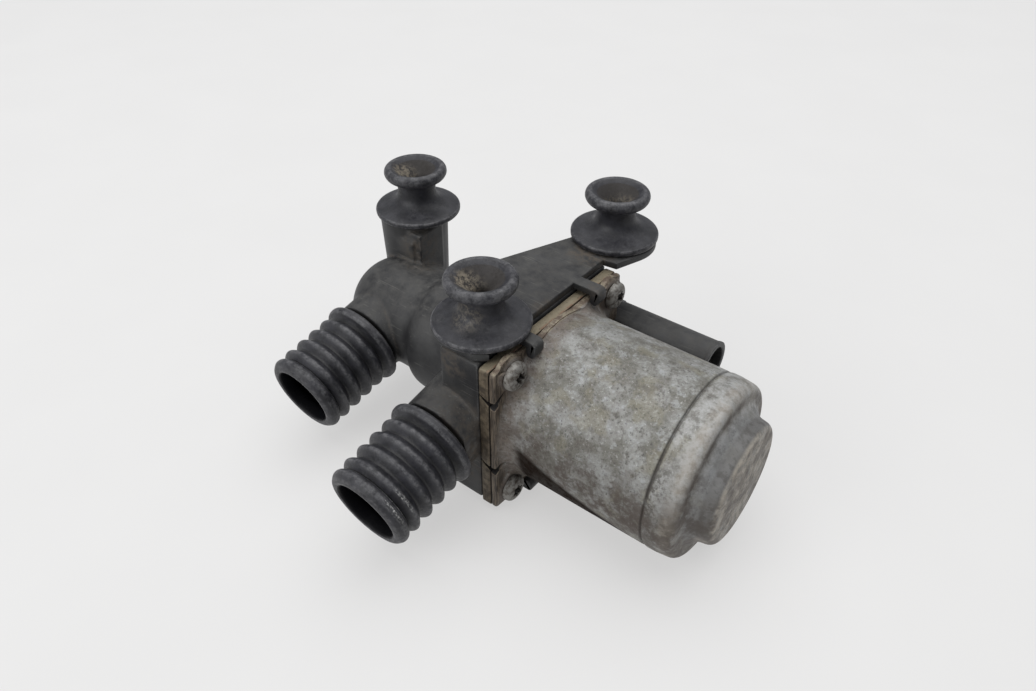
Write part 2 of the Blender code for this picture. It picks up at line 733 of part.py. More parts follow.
def make_solenoid_inside():
    """Everything on the can's axis inside the solenoid."""
    axis, way = (0.0, 0.0, CAN_Z), (1.0, 0.0, 0.0)
    inner, barrel, cheek = BOBBIN_R
    back, front = BOBBIN_X
    bobbin = [
        (inner, front),
        (cheek, front),
        (cheek, front - BOBBIN_CHEEK),
        (barrel, front - BOBBIN_CHEEK),
        (barrel, back + BOBBIN_CHEEK),
        (cheek, back + BOBBIN_CHEEK),
        (cheek, back),
        (inner, back),
    ]
    part(turned("bobbin", bobbin, MEDIUM, axis, way), "bobbin")
    coil_x = (back + BOBBIN_CHEEK + GAP, front - BOBBIN_CHEEK - GAP)
    part(ring("coil_winding", COIL_R, coil_x, MEDIUM, axis, way), "copper")
    head_x = BOSS_END - BOSS_CROWN - CAN_WALL - GAP
    head_r = BOSS_R - CAN_WALL - 4 * GAP
    pole = [
        (0.0, head_x),
        (head_r, head_x),
        (head_r, CAN_END - 1.0 * MM),
        (PLUNGER_R, CAN_END - 1.0 * MM),
        (PLUNGER_R, POLE_X),
        (SPRING_POCKET_R, POLE_X),
        (SPRING_POCKET_R, SPRING_X[1] + 2 * SPRING_WIRE_R),
        (0.0, SPRING_X[1] + 2 * SPRING_WIRE_R),
    ]
    part(turned("pole_core", pole, COARSE, axis, way), "bright_steel")
    washer_x = (POLE_X - 0.7 * MM, POLE_X - GAP)
    washer_r = (SPRING_POCKET_R + 0.2 * MM, PLUNGER_R - 0.2 * MM)
    part(ring("stop_washer", washer_r, washer_x, COARSE, axis, way), "brass")
    back_x = BODY_FACE_X - 1.1 * MM
    sleeve = [
        (TUBE_IN_R, CAN_END - 8 * MM),
        (TUBE_OUT_R, CAN_END - 8 * MM),
        (TUBE_OUT_R, back_x + 0.8 * MM),
        (TUBE_FLANGE_R, back_x + 0.8 * MM),
        (TUBE_FLANGE_R, back_x),
        (TUBE_IN_R, back_x),
    ]
    part(turned("guide_tube", sleeve, COARSE, axis, way), "brass")
    bush_r = (STEM_BORE_R, TUBE_IN_R - GAP)
    part(ring("guide_bush", bush_r, (back_x, PLUNGER_X[0] - 0.6 * MM), COARSE, axis, way), "brass")
    pocket_x = SPRING_X[0] - 2 * SPRING_WIRE_R
    plunger = [
        (0.0, pocket_x),
        (SPRING_POCKET_R, pocket_x),
        (SPRING_POCKET_R, PLUNGER_X[1]),
        (PLUNGER_R, PLUNGER_X[1]),
        (PLUNGER_R, PLUNGER_X[0]),
        (STEM_BORE_R, PLUNGER_X[0]),
        (STEM_BORE_R, STEM_X[1] + GAP),
        (0.0, STEM_X[1] + GAP),
    ]
    part(turned("plunger", plunger, COARSE, axis, way), "bright_steel")


def make_valve_inside():
    """Stem, disc, seat and seals. The stem runs on the can's axis, inside the wider bore."""
    axis, way = (0.0, 0.0, CAN_Z), (1.0, 0.0, 0.0)
    shoulder_x = SEAL_FACE_X + GAP
    stem = [
        (0.0, STEM_X[1]),
        (STEM_R, STEM_X[1]),
        (STEM_R, shoulder_x + 1.4 * MM),
        (STEM_R + 1 * MM, shoulder_x + 1.4 * MM),
        (STEM_R + 1 * MM, shoulder_x),
        (STEM_R, shoulder_x),
        (STEM_R, STEM_X[0]),
        (0.0, STEM_X[0]),
    ]
    part(turned("valve_stem", stem, COARSE, axis, way), "bright_steel")
    seal_x = (SEAL_FACE_X - SEAL_T, SEAL_FACE_X)
    part(ring("disc_seal", (STEM_BORE_R, SEAL_R), seal_x, MEDIUM, axis, way), "rubber")
    disc_x = (seal_x[0] - GAP - DISC_T, seal_x[0] - GAP)
    part(ring("valve_disc", (STEM_BORE_R, DISC_R), disc_x, MEDIUM, axis, way), "brass")
    clip_x = (disc_x[0] - GAP - CLIP_T, disc_x[0] - GAP)
    part(ring("retaining_clip", (STEM_BORE_R, CLIP_R), clip_x, COARSE, axis, way), "bright_steel")
    low, high = SEAT_X
    seat = [
        (SEAT_BORE_R, high),
        (BORE_R - GAP, high),
        (BORE_R - GAP, low),
        (SEAT_BORE_R + 1.2 * MM, low),
        (SEAT_BORE_R + 0.8 * MM, low - SEAT_LIP),
        (SEAT_BORE_R, low - SEAT_LIP),
    ]
    part(turned("seat_ring", seat, MEDIUM, axis, way), "brass")
    seal_front = BODY_FACE_X - 1.1 * MM - GAP
    seal_x = (seal_front - 2.0 * MM, seal_front)
    part(ring("stem_seal", (STEM_BORE_R, BORE_R - GAP), seal_x, MEDIUM, axis, way), "rubber")
    groove_in, groove_out = FACE_GROOVE_R
    face_x = (BODY_FACE_X - FACE_GROOVE_DEPTH + GAP, BODY_FACE_X)
    face_r = (groove_in + GAP, groove_out - GAP)
    part(ring("face_seal", face_r, face_x, MEDIUM, axis, way), "rubber")


def make_rubber():
    """Three isolators on their pegs and two bellows on their spigots."""
    for i, (x, y) in enumerate(ISOLATOR_AT):
        at = (x, y, ISOLATOR_Z)
        part(turned(f"isolator_{i + 1}", isolator_profile(), MEDIUM, at), "rubber")
    for i, mouth in enumerate(PORT_MOUTH):
        bellows = turned(f"bellows_{i + 1}", bellows_profile(), MEDIUM, mouth, port_axis())
        part(bellows, "rubber")


def stand_on_origin():
    """Moves the root so that the middle of the footprint is at the origin and the foot at z = 0."""
    bpy.context.view_layer.update()
    graph = bpy.context.evaluated_depsgraph_get()
    low = Vector((math.inf,) * 3)
    high = Vector((-math.inf,) * 3)
    for obj in parts.objects:
        if obj.type == "EMPTY":
            continue
        evaluated = obj.evaluated_get(graph)
        mesh = evaluated.to_mesh()
        for vertex in mesh.vertices:
            point = evaluated.matrix_world @ vertex.co
            low = Vector(map(min, low, point))
            high = Vector(map(max, high, point))
        evaluated.to_mesh_clear()
    root.location = (-(low.x + high.x) / 2, -(low.y + high.y) / 2, -low.z)


make_body()
make_bracket()
make_yoke()
make_can()
for index, (screw_y, screw_z) in enumerate(SCREW_AT):
    make_screw(index + 1, screw_y, screw_z)
make_rubber()
make_socket()
for index, pin_z in enumerate(PIN_Z):
    make_pin(index + 1, pin_z)
make_solenoid_inside()
make_spring()
make_valve_inside()
stand_on_origin()
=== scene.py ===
"""Looks of the solenoid valve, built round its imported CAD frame.

The pieces are laid out in the solenoid's own frame, in millimetres: x along the can from its
flange's front face at 0, y across with the ports towards -y, z up. SHIFT takes that frame to the row's.
"""

import math

import bmesh
import bpy
import numpy as np
from mathutils import Euler, Matrix, Vector


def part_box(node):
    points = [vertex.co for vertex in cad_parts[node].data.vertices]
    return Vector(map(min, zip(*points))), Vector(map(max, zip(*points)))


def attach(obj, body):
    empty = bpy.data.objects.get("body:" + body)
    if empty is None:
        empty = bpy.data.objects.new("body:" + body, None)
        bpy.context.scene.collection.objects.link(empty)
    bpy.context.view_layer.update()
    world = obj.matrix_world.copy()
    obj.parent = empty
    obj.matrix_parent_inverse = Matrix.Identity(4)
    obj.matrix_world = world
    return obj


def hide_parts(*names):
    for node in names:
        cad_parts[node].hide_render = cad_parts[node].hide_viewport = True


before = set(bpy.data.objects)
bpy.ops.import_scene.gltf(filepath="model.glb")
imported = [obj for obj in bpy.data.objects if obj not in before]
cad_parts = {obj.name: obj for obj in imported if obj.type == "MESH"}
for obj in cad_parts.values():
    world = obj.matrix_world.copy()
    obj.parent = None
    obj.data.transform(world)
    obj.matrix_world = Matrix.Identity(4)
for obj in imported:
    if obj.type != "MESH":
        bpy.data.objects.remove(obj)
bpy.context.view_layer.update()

MM = 0.001
FLANGE_BACK = (-2.5, -27.7, -0.4)
SHIFT = np.array(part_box("solenoid_can")[0]) - np.array(FLANGE_BACK) * MM

# The layout that pieces share, in mm
CAN_Z = 25.3
CAN_R = 25.0
CAN_INSIDE_R = 23.4
FLANGE_Y = (-27.7, 31.0)
FLANGE_Z = (-0.4, 49.6)
FLANGE_CORNER_R = 1.3
FLANGE_X = (-1.2, 0.5)
YOKE_X = (-4.6, -1.5)
SCREWS = ((-22.2, 5.2), (-21.4, 46.4), (25.5, 5.2), (25.5, 45.4))
SCREW_SEAT_X = 1.55
BOX_X = (-17.6, -4.9)
FACE_GROOVE = (-8.4, 13.9, 16.6)
COIL_SPACE = (-2.8, 23.6)
BOX_Z = (0.6, 50.3)
TUBE_YZ = (2.6, 25.7)
TUBE_R = 16.5
DOME_X = -62.3
PORT_DROOP = math.radians(11.2)
PORT_WAY = (0.0, math.cos(PORT_DROOP), math.sin(PORT_DROOP))
PORT_MOUTHS = ((-61.7, -42.4, 17.9), (-15.3, -61.0, 18.0))
PORT_REACH = (42.0, 58.0)
POST_AT = (-68.3, 16.3)
PLATE_Z = (50.6, 52.9)
ISOLATORS = ((-67.1, 17.2), (-9.8, 42.7), (-12.6, -16.5))
ISOLATOR_Z = 53.2
SCREW_PAD_R = 5.2
FLARE_REACH = 3.4
FLARE_HEIGHT = 5.6
PAD_HEIGHT = 0.95
GROOVE_X = 43.5
HOOK_Y = (-13.2, 16.0)
HOOK_W = 4.0
SOCKET_YZ = (35.0, 28.0)
ROUND = 96

# Painted shade: the near-black colour given to the walls of the gaps in the flange's edge
GAP_SHADE = (0.010, 0.008, 0.007)

# The studio: the floor's half width in metres, the camera's place in mm and its turn in degrees
FLOOR_HALF = 2.5
FLOOR_GLOW = 0.52
SKY_STRENGTH = 0.42
LENS = 27.29
SENSOR = 36.0
CAMERA_AT = (94.18, -139.34, 175.98)
CAMERA_TILT, CAMERA_PAN, CAMERA_ROLL = 51.32, 37.68, 0.37


# ---------------------------------------------------------------- meshes


def new_piece(name, points, faces):
    """A mesh object from points in mm in the solenoid's frame."""
    mesh = bpy.data.meshes.new(name)
    mesh.from_pydata((np.asarray(points, float) * MM + SHIFT).tolist(), [], faces)
    shape = bmesh.new()
    shape.from_mesh(mesh)
    bmesh.ops.recalc_face_normals(shape, faces=shape.faces)
    shape.to_mesh(mesh)
    shape.free()
    obj = bpy.data.objects.new(name, mesh)
    bpy.context.scene.collection.objects.link(obj)
    return obj


def corner_arc(before, corner, after, radius, count):
    """Points that round off a corner between two straight sides."""
    before, corner, after = (np.array(p[:2], float) for p in (before, corner, after))
    to_before, to_after = before - corner, after - corner
    reach = min(radius, 0.49 * np.linalg.norm(to_before), 0.49 * np.linalg.norm(to_after))
    start = corner + to_before / np.linalg.norm(to_before) * reach
    end = corner + to_after / np.linalg.norm(to_after) * reach
    steps = np.linspace(0.0, 1.0, count)
    return [tuple((1 - t) ** 2 * start + 2 * t * (1 - t) * corner + t * t * end) for t in steps]


def rounded(points, count=5, closed=False):
    """A line through (a, b) or (a, b, reach) points, with the corners that have a reach rounded."""
    made = []
    total = len(points)
    for i, point in enumerate(points):
        inside = closed or 0 < i < total - 1
        if len(point) == 3 and inside:
            made += corner_arc(points[i - 1], point, points[(i + 1) % total], point[2], count)
        else:
            made.append(tuple(point[:2]))
    return made


def lathe(name, profile, at=(0.0, 0.0, 0.0), along=(0.0, 0.0, 1.0), steps=ROUND, hollow=()):
    """A turned shape from (radius, height) points, which end on the axis or make a closed hollow loop.

    The profile points numbered in hollow are marked as the inside, for the materials.
    """
    axis = Vector(along).normalized()
    across = axis.orthogonal().normalized()
    other = axis.cross(across)
    points, rings, inside = [], [], []
    for number, (radius, height) in enumerate(profile):
        middle = Vector(at) + axis * height
        if radius < 1e-6:
            rings.append([len(points)])
            points.append(middle)
            inside.append(float(number in hollow))
            continue
        inside += [float(number in hollow)] * steps
        rings.append(list(range(len(points), len(points) + steps)))
        for i in range(steps):
            angle = 2 * math.pi * i / steps
            points.append(middle + (across * math.cos(angle) + other * math.sin(angle)) * radius)
    if len(rings[0]) > 1:
        rings.append(rings[0])
    faces = []
    for low, high in zip(rings, rings[1:]):
        for i in range(steps):
            j = (i + 1) % steps
            if len(low) == 1:
                faces.append((low[0], high[i], high[j]))
            elif len(high) == 1:
                faces.append((low[i], low[j], high[0]))
            else:
                faces.append((low[i], low[j], high[j], high[i]))
    obj = new_piece(name, points, faces)
    obj.data.attributes.new("inside", "FLOAT", "POINT").data.foreach_set("value", inside)
    return obj


def slab(name, outline, low, high, axis=2, bevel=0.3, rim=0.5):
    """A flat outline between two heights along an axis, with its rim bevelled."""
    def put(a, b, c):
        return ((c, a, b), (a, c, b), (a, b, c))[axis]

    count = len(outline)
    points = [put(a, b, low) for a, b in outline] + [put(a, b, high) for a, b in outline]
    faces = [tuple(range(count)), tuple(range(count, 2 * count))]
    faces += [(i, (i + 1) % count, (i + 1) % count + count, i + count) for i in range(count)]
    obj = new_piece(name, points, faces)
    shape = bmesh.new()
    shape.from_mesh(obj.data)
    flat = [face for face in shape.faces if len(face.verts) == count]
    edges = {edge for face in flat for edge in face.edges}
    bmesh.ops.bevel(
        shape, geom=list(edges), offset=bevel * MM, segments=3, profile=0.5, affect="EDGES"
    )
    flat = [face for face in shape.faces if len(face.verts) >= count]
    bmesh.ops.inset_region(shape, faces=flat, thickness=rim * MM)
    shape.to_mesh(obj.data)
    shape.free()
    return obj


def block(name, x, y, z):
    """A plain box, used as a shell or a cutter."""
    corners = [(a, b, c) for a in x for b in y for c in z]
    faces = [(0, 1, 3, 2), (4, 5, 7, 6), (0, 1, 5, 4), (2, 3, 7, 6), (0, 2, 6, 4), (1, 3, 7, 5)]
    return new_piece(name, corners, faces)


def applied(obj):
    """The object with its modifiers applied."""
    graph = bpy.context.evaluated_depsgraph_get()
    mesh = bpy.data.meshes.new_from_object(obj.evaluated_get(graph))
    obj.modifiers.clear()
    obj.data = mesh
    return obj


def fuse(name, shells, voxel, rounds):
    """One moulded shape from overlapping shells, soft where they meet."""
    mesh = bpy.data.meshes.new(name)
    shape = bmesh.new()
    for shell in shells:
        shape.from_mesh(shell.data)
        bpy.data.objects.remove(shell)
    shape.to_mesh(mesh)
    shape.free()
    obj = bpy.data.objects.new(name, mesh)
    bpy.context.scene.collection.objects.link(obj)
    remesh = obj.modifiers.new("Remesh", "REMESH")
    remesh.mode = "VOXEL"
    remesh.voxel_size = voxel * MM
    smooth = obj.modifiers.new("Smooth", "SMOOTH")
    smooth.iterations = rounds
    return applied(obj)


def cut(obj, *cutters):
    """The object less the cutters."""
    for cutter in cutters:
        modifier = obj.modifiers.new(cutter.name, "BOOLEAN")
        modifier.operation = "DIFFERENCE"
        modifier.solver = "MANIFOLD"
        modifier.object = cutter
    applied(obj)
    for cutter in cutters:
        bpy.data.objects.remove(cutter)
    return obj


def mark_bends(mesh, blur):
    """Stores the surface's bend at each point, per mm: above 0 on ridges, below in hollows."""
    count = len(mesh.vertices)
    points, normals = np.empty(count * 3), np.empty(count * 3)
    mesh.vertices.foreach_get("co", points)
    mesh.vertex_normals.foreach_get("vector", normals)
    points, normals = points.reshape(-1, 3), normals.reshape(-1, 3)
    ends = np.empty(len(mesh.edges) * 2, int)
    mesh.edges.foreach_get("vertices", ends)
    first, second = ends.reshape(-1, 2).T
    step = points[first] - points[second]
    length = np.maximum((step**2).sum(1), 1e-12)
    near = np.zeros(count)
    np.add.at(near, first, 1.0)
    np.add.at(near, second, 1.0)
    near = np.maximum(near, 1.0)
    bend = np.zeros(count)
    np.add.at(bend, first, 2 * MM * (normals[first] * step).sum(1) / length)
    np.add.at(bend, second, -2 * MM * (normals[second] * step).sum(1) / length)
    bend = np.clip(bend / near, -2.0, 2.0)
    for _ in range(blur):
        mixed = np.zeros(count)
        np.add.at(mixed, first, bend[second])
        np.add.at(mixed, second, bend[first])
        bend = (bend + mixed / near) / 2
    mesh.attributes.new("bend", "FLOAT", "POINT").data.foreach_set("value", bend.astype(np.float32))


def finish(obj, material, *nodes, body="valve", sharp=38.0, blur=1):
    """Gives a piece its material and puts it on its body, in place of CAD nodes."""
    obj.data.shade_smooth()
    obj.data.set_sharp_from_angle(angle=math.radians(sharp))
    mark_bends(obj.data, blur)
    obj.data.materials.clear()
    obj.data.materials.append(material)
    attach(obj, body)
    if nodes:
        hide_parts(*nodes)
    return obj


# ---------------------------------------------------------------- materials


class Look:
    """A material under construction. Sizes are in mm."""

    def __init__(self, name, metallic=0.0, specular=0.35):
        self.material = bpy.data.materials.new(name)
        self.material.use_nodes = True
        self.tree = self.material.node_tree
        self.surface = self.tree.nodes["Principled BSDF"]
        self.surface.inputs["Metallic"].default_value = metallic
        self.surface.inputs["Specular IOR Level"].default_value = specular
        self.place = self.add("ShaderNodeTexCoord").outputs["Object"]
        self.normal = self.add("ShaderNodeNewGeometry").outputs["Normal"]

    def add(self, kind, **settings):
        node = self.tree.nodes.new(kind)
        for key, value in settings.items():
            setattr(node, key, value)
        return node

    def feed(self, socket, value):
        if isinstance(value, bpy.types.NodeSocket):
            self.tree.links.new(value, socket)
        else:
            socket.default_value = value

    def calc(self, operation, first, second=0.0, clamp=False):
        node = self.add("ShaderNodeMath", operation=operation, use_clamp=clamp)
        self.feed(node.inputs[0], first)
        self.feed(node.inputs[1], second)
        return node.outputs[0]

    def times(self, first, second, clamp=False):
        return self.calc("MULTIPLY", first, second, clamp)

    def spread(self, value, low, high, to_low=0.0, to_high=1.0):
        """The value mapped from one range to another, smoothly and clamped."""
        node = self.add("ShaderNodeMapRange", interpolation_type="SMOOTHSTEP")
        for socket, given in zip(node.inputs, (value, low, high, to_low, to_high)):
            self.feed(socket, given)
        return node.outputs[0]

    def noise(
        self, size, detail=3.0, roughness=0.55, stretch=(1.0, 1.0, 1.0), turn=(0, 0, 0), seed=0.0
    ):
        """Noise with patches of about a size, drawn out along an axis by a stretch above 1."""
        mapping = self.add("ShaderNodeMapping")
        self.feed(mapping.inputs["Vector"], self.place)
        mapping.inputs["Location"].default_value = (seed, seed * 0.7, seed * 1.3)
        mapping.inputs["Rotation"].default_value = [math.radians(angle) for angle in turn]
        mapping.inputs["Scale"].default_value = [1 / factor for factor in stretch]
        node = self.add("ShaderNodeTexNoise")
        self.feed(node.inputs["Vector"], mapping.outputs[0])
        node.inputs["Scale"].default_value = 1 / (size * MM)
        node.inputs["Detail"].default_value = detail
        node.inputs["Roughness"].default_value = roughness
        return node.outputs["Fac"]

    def axis(self, number):
        """The place along x, y or z, in mm in the solenoid's frame."""
        node = self.add("ShaderNodeSeparateXYZ")
        self.feed(node.inputs[0], self.place)
        moved = self.calc("SUBTRACT", node.outputs[number], float(SHIFT[number]))
        return self.calc("DIVIDE", moved, MM)

    def facing(self, number):
        """How far the surface faces along +x, +y or +z."""
        node = self.add("ShaderNodeSeparateXYZ")
        self.feed(node.inputs[0], self.normal)
        return node.outputs[number]

    def near(self, point, inner, outer):
        """1 within an inner distance of a point, 0 beyond an outer one."""
        node = self.add("ShaderNodeVectorMath", operation="DISTANCE")
        self.feed(node.inputs[0], self.place)
        node.inputs[1].default_value = (np.array(point) * MM + SHIFT).tolist()
        return self.spread(node.outputs["Value"], outer * MM, inner * MM)

    def mark(self, name):
        return self.add("ShaderNodeAttribute", attribute_name=name).outputs["Fac"]

    def bend(self):
        return self.mark("bend")

    def mix(self, factor, first, second):
        node = self.add("ShaderNodeMix", data_type="RGBA")
        self.feed(node.inputs[0], factor)
        for socket, value in ((node.inputs[6], first), (node.inputs[7], second)):
            self.feed(socket, (*value, 1.0) if isinstance(value, tuple) else value)
        return node.outputs[2]

    def done(self, colour, roughness, height=None, depth=0.05):
        """Finishes with a colour, a roughness and a relief of a depth."""
        self.feed(self.surface.inputs["Base Color"], colour)
        self.feed(self.surface.inputs["Roughness"], roughness)
        if height is not None:
            bump = self.add("ShaderNodeBump")
            bump.inputs["Distance"].default_value = depth * MM
            bump.inputs["Strength"].default_value = 1.0
            self.feed(bump.inputs["Height"], height)
            self.feed(self.surface.inputs["Normal"], bump.outputs[0])
        return self.material


def worn_plastic(name, wear, dusty=()):
    """Dark moulded plastic, rubbed by a wear, dusty at (place, reach, strength) points."""
    look = Look(name)
    cloud = look.noise(9.0, 4.0)
    colour = look.mix(look.spread(cloud, 0.35, 0.7), (0.014, 0.014, 0.015), (0.036, 0.036, 0.036))
    up = look.spread(look.facing(2), 0.2, 0.95)
    film = look.times(up, look.spread(look.noise(3.5, 7.0, 0.72, seed=3.0), 0.34, 0.68))
    colour = look.mix(look.times(film, 0.45), colour, (0.105, 0.102, 0.095))
    grain = look.noise(1.3, 6.0, 0.7, seed=5.0)
    hollow = look.spread(look.bend(), -0.05, -0.5)
    dirt = look.times(hollow, look.spread(grain, 0.35, 0.65, 0.0, 0.5))
    for point, reach, strength in dusty:
        spot = look.times(look.near(point, reach * 0.35, reach), strength)
        spot = look.times(spot, look.spread(look.noise(2.4, 5.0, 0.7, seed=reach), 0.38, 0.62))
        dirt = look.calc("MAXIMUM", dirt, spot)
    colour = look.mix(dirt, colour, (0.092, 0.075, 0.058))
    rubbed = look.spread(look.bend(), 0.35, 1.3)
    rubbed = look.times(rubbed, look.spread(look.noise(1.8, 4.0, seed=8.0), 0.4, 0.65, 0.0, wear))
    colour = look.mix(rubbed, colour, (0.12, 0.12, 0.118))
    scratch = scratches(look)
    colour = look.mix(look.times(scratch, 0.3), colour, (0.17, 0.165, 0.15))
    rough = look.spread(look.calc("ADD", film, dirt), 0.0, 1.0, 0.5, 0.8)
    relief = look.calc("ADD", look.noise(0.5, 3.0, seed=9.0), look.times(scratch, -0.6))
    return look.done(colour, rough, relief, 0.035)


def scratches(look):
    """Thin straight marks in three directions."""
    found = None
    for turn, seed in ((12, 2.0), (63, 7.0), (131, 11.0)):
        fine = look.noise(0.34, 1.0, 0.4, stretch=(46.0, 1.0, 1.0), turn=(0, 0, turn), seed=seed)
        patch = look.spread(look.noise(7.0, 2.0, seed=seed + 1), 0.5, 0.62)
        line = look.times(look.spread(fine, 0.66, 0.74), patch)
        found = line if found is None else look.calc("MAXIMUM", found, line)
    return found


def worn_rubber(name, inside, dusty=(), scuffs=()):
    """Aged rubber, paler where it is rubbed or faces up, with painted highlight on its ridges, painted
    shade in its folds and an inside (colour, strength).
    """
    look = Look(name, specular=0.4)
    cloud = look.noise(5.0, 6.0, 0.68)
    colour = look.mix(look.spread(cloud, 0.34, 0.66), (0.005, 0.005, 0.007), (0.020, 0.020, 0.025))
    grain = look.noise(0.9, 6.0, 0.75, seed=4.0)
    up = look.spread(look.facing(2), 0.0, 0.9)
    film = look.times(up, look.spread(grain, 0.36, 0.68))
    film = look.times(film, look.spread(look.noise(4.0, 3.0, seed=21.0), 0.35, 0.65, 0.3, 1.0))
    colour = look.mix(look.times(film, 0.50), colour, (0.084, 0.083, 0.088))
    # Paler streaks on the ridges: partly wear, partly painted highlight
    ridge = look.spread(look.bend(), 0.05, 0.55)
    streaks = look.spread(look.noise(2.2, 8.0, 0.82, seed=6.0), 0.42, 0.62, 0.0, 0.85)
    colour = look.mix(look.times(ridge, streaks), colour, (0.105, 0.104, 0.108))
    # Painted shade in the folds
    fold_shade = look.spread(look.bend(), -0.08, -0.45)
    colour = look.mix(look.times(fold_shade, 0.7), colour, (0.008, 0.008, 0.008))
    # The inside tint: dust in the isolators' funnels, painted shade in the bellows' bore
    shade, strength = inside
    colour = look.mix(look.times(look.mark("inside"), strength), colour, shade)
    dirt = 0.0
    for point, reach, strength in dusty:
        spot = look.times(look.near(point, reach * 0.4, reach), strength)
        spot = look.times(spot, look.spread(look.noise(1.3, 6.0, 0.8, seed=reach), 0.42, 0.6))
        dirt = look.calc("MAXIMUM", dirt, spot)
    colour = look.mix(dirt, colour, (0.23, 0.20, 0.155))
    relief = grain
    for point, reach in scuffs:
        torn = look.spread(look.noise(0.5, 6.0, 0.8, stretch=(1.6, 1.0, 1.0), seed=12.0), 0.50, 0.56)
        torn = look.times(torn, look.near(point, reach * 0.3, reach))
        torn = look.times(torn, look.spread(look.bend(), 0.3, 0.5))
        colour = look.mix(torn, colour, (0.62, 0.62, 0.60))
        relief = look.calc("ADD", relief, look.times(torn, -1.5))
    # Less specular on the inside, which for the bellows is part of the painted shade
    sheen = look.spread(look.mark("inside"), 0.0, 1.0, 0.4, 0.12)
    look.feed(look.surface.inputs["Specular IOR Level"], sheen)
    rough = look.spread(grain, 0.25, 0.75, 0.36, 0.62)
    return look.done(colour, rough, relief, 0.07)


def gap_shade_mask(look):
    """1 on the walls of the curved gaps in the flange's edge, which are painted dark as shade."""
    y = look.axis(1)
    deep = look.times(look.spread(y, -27.62, -27.35), look.spread(y, -22.4, -23.0))
    deep = look.times(deep, look.spread(look.axis(0), 0.42, 0.2))
    return look.times(deep, look.spread(look.axis(2), 49.0, 48.0))


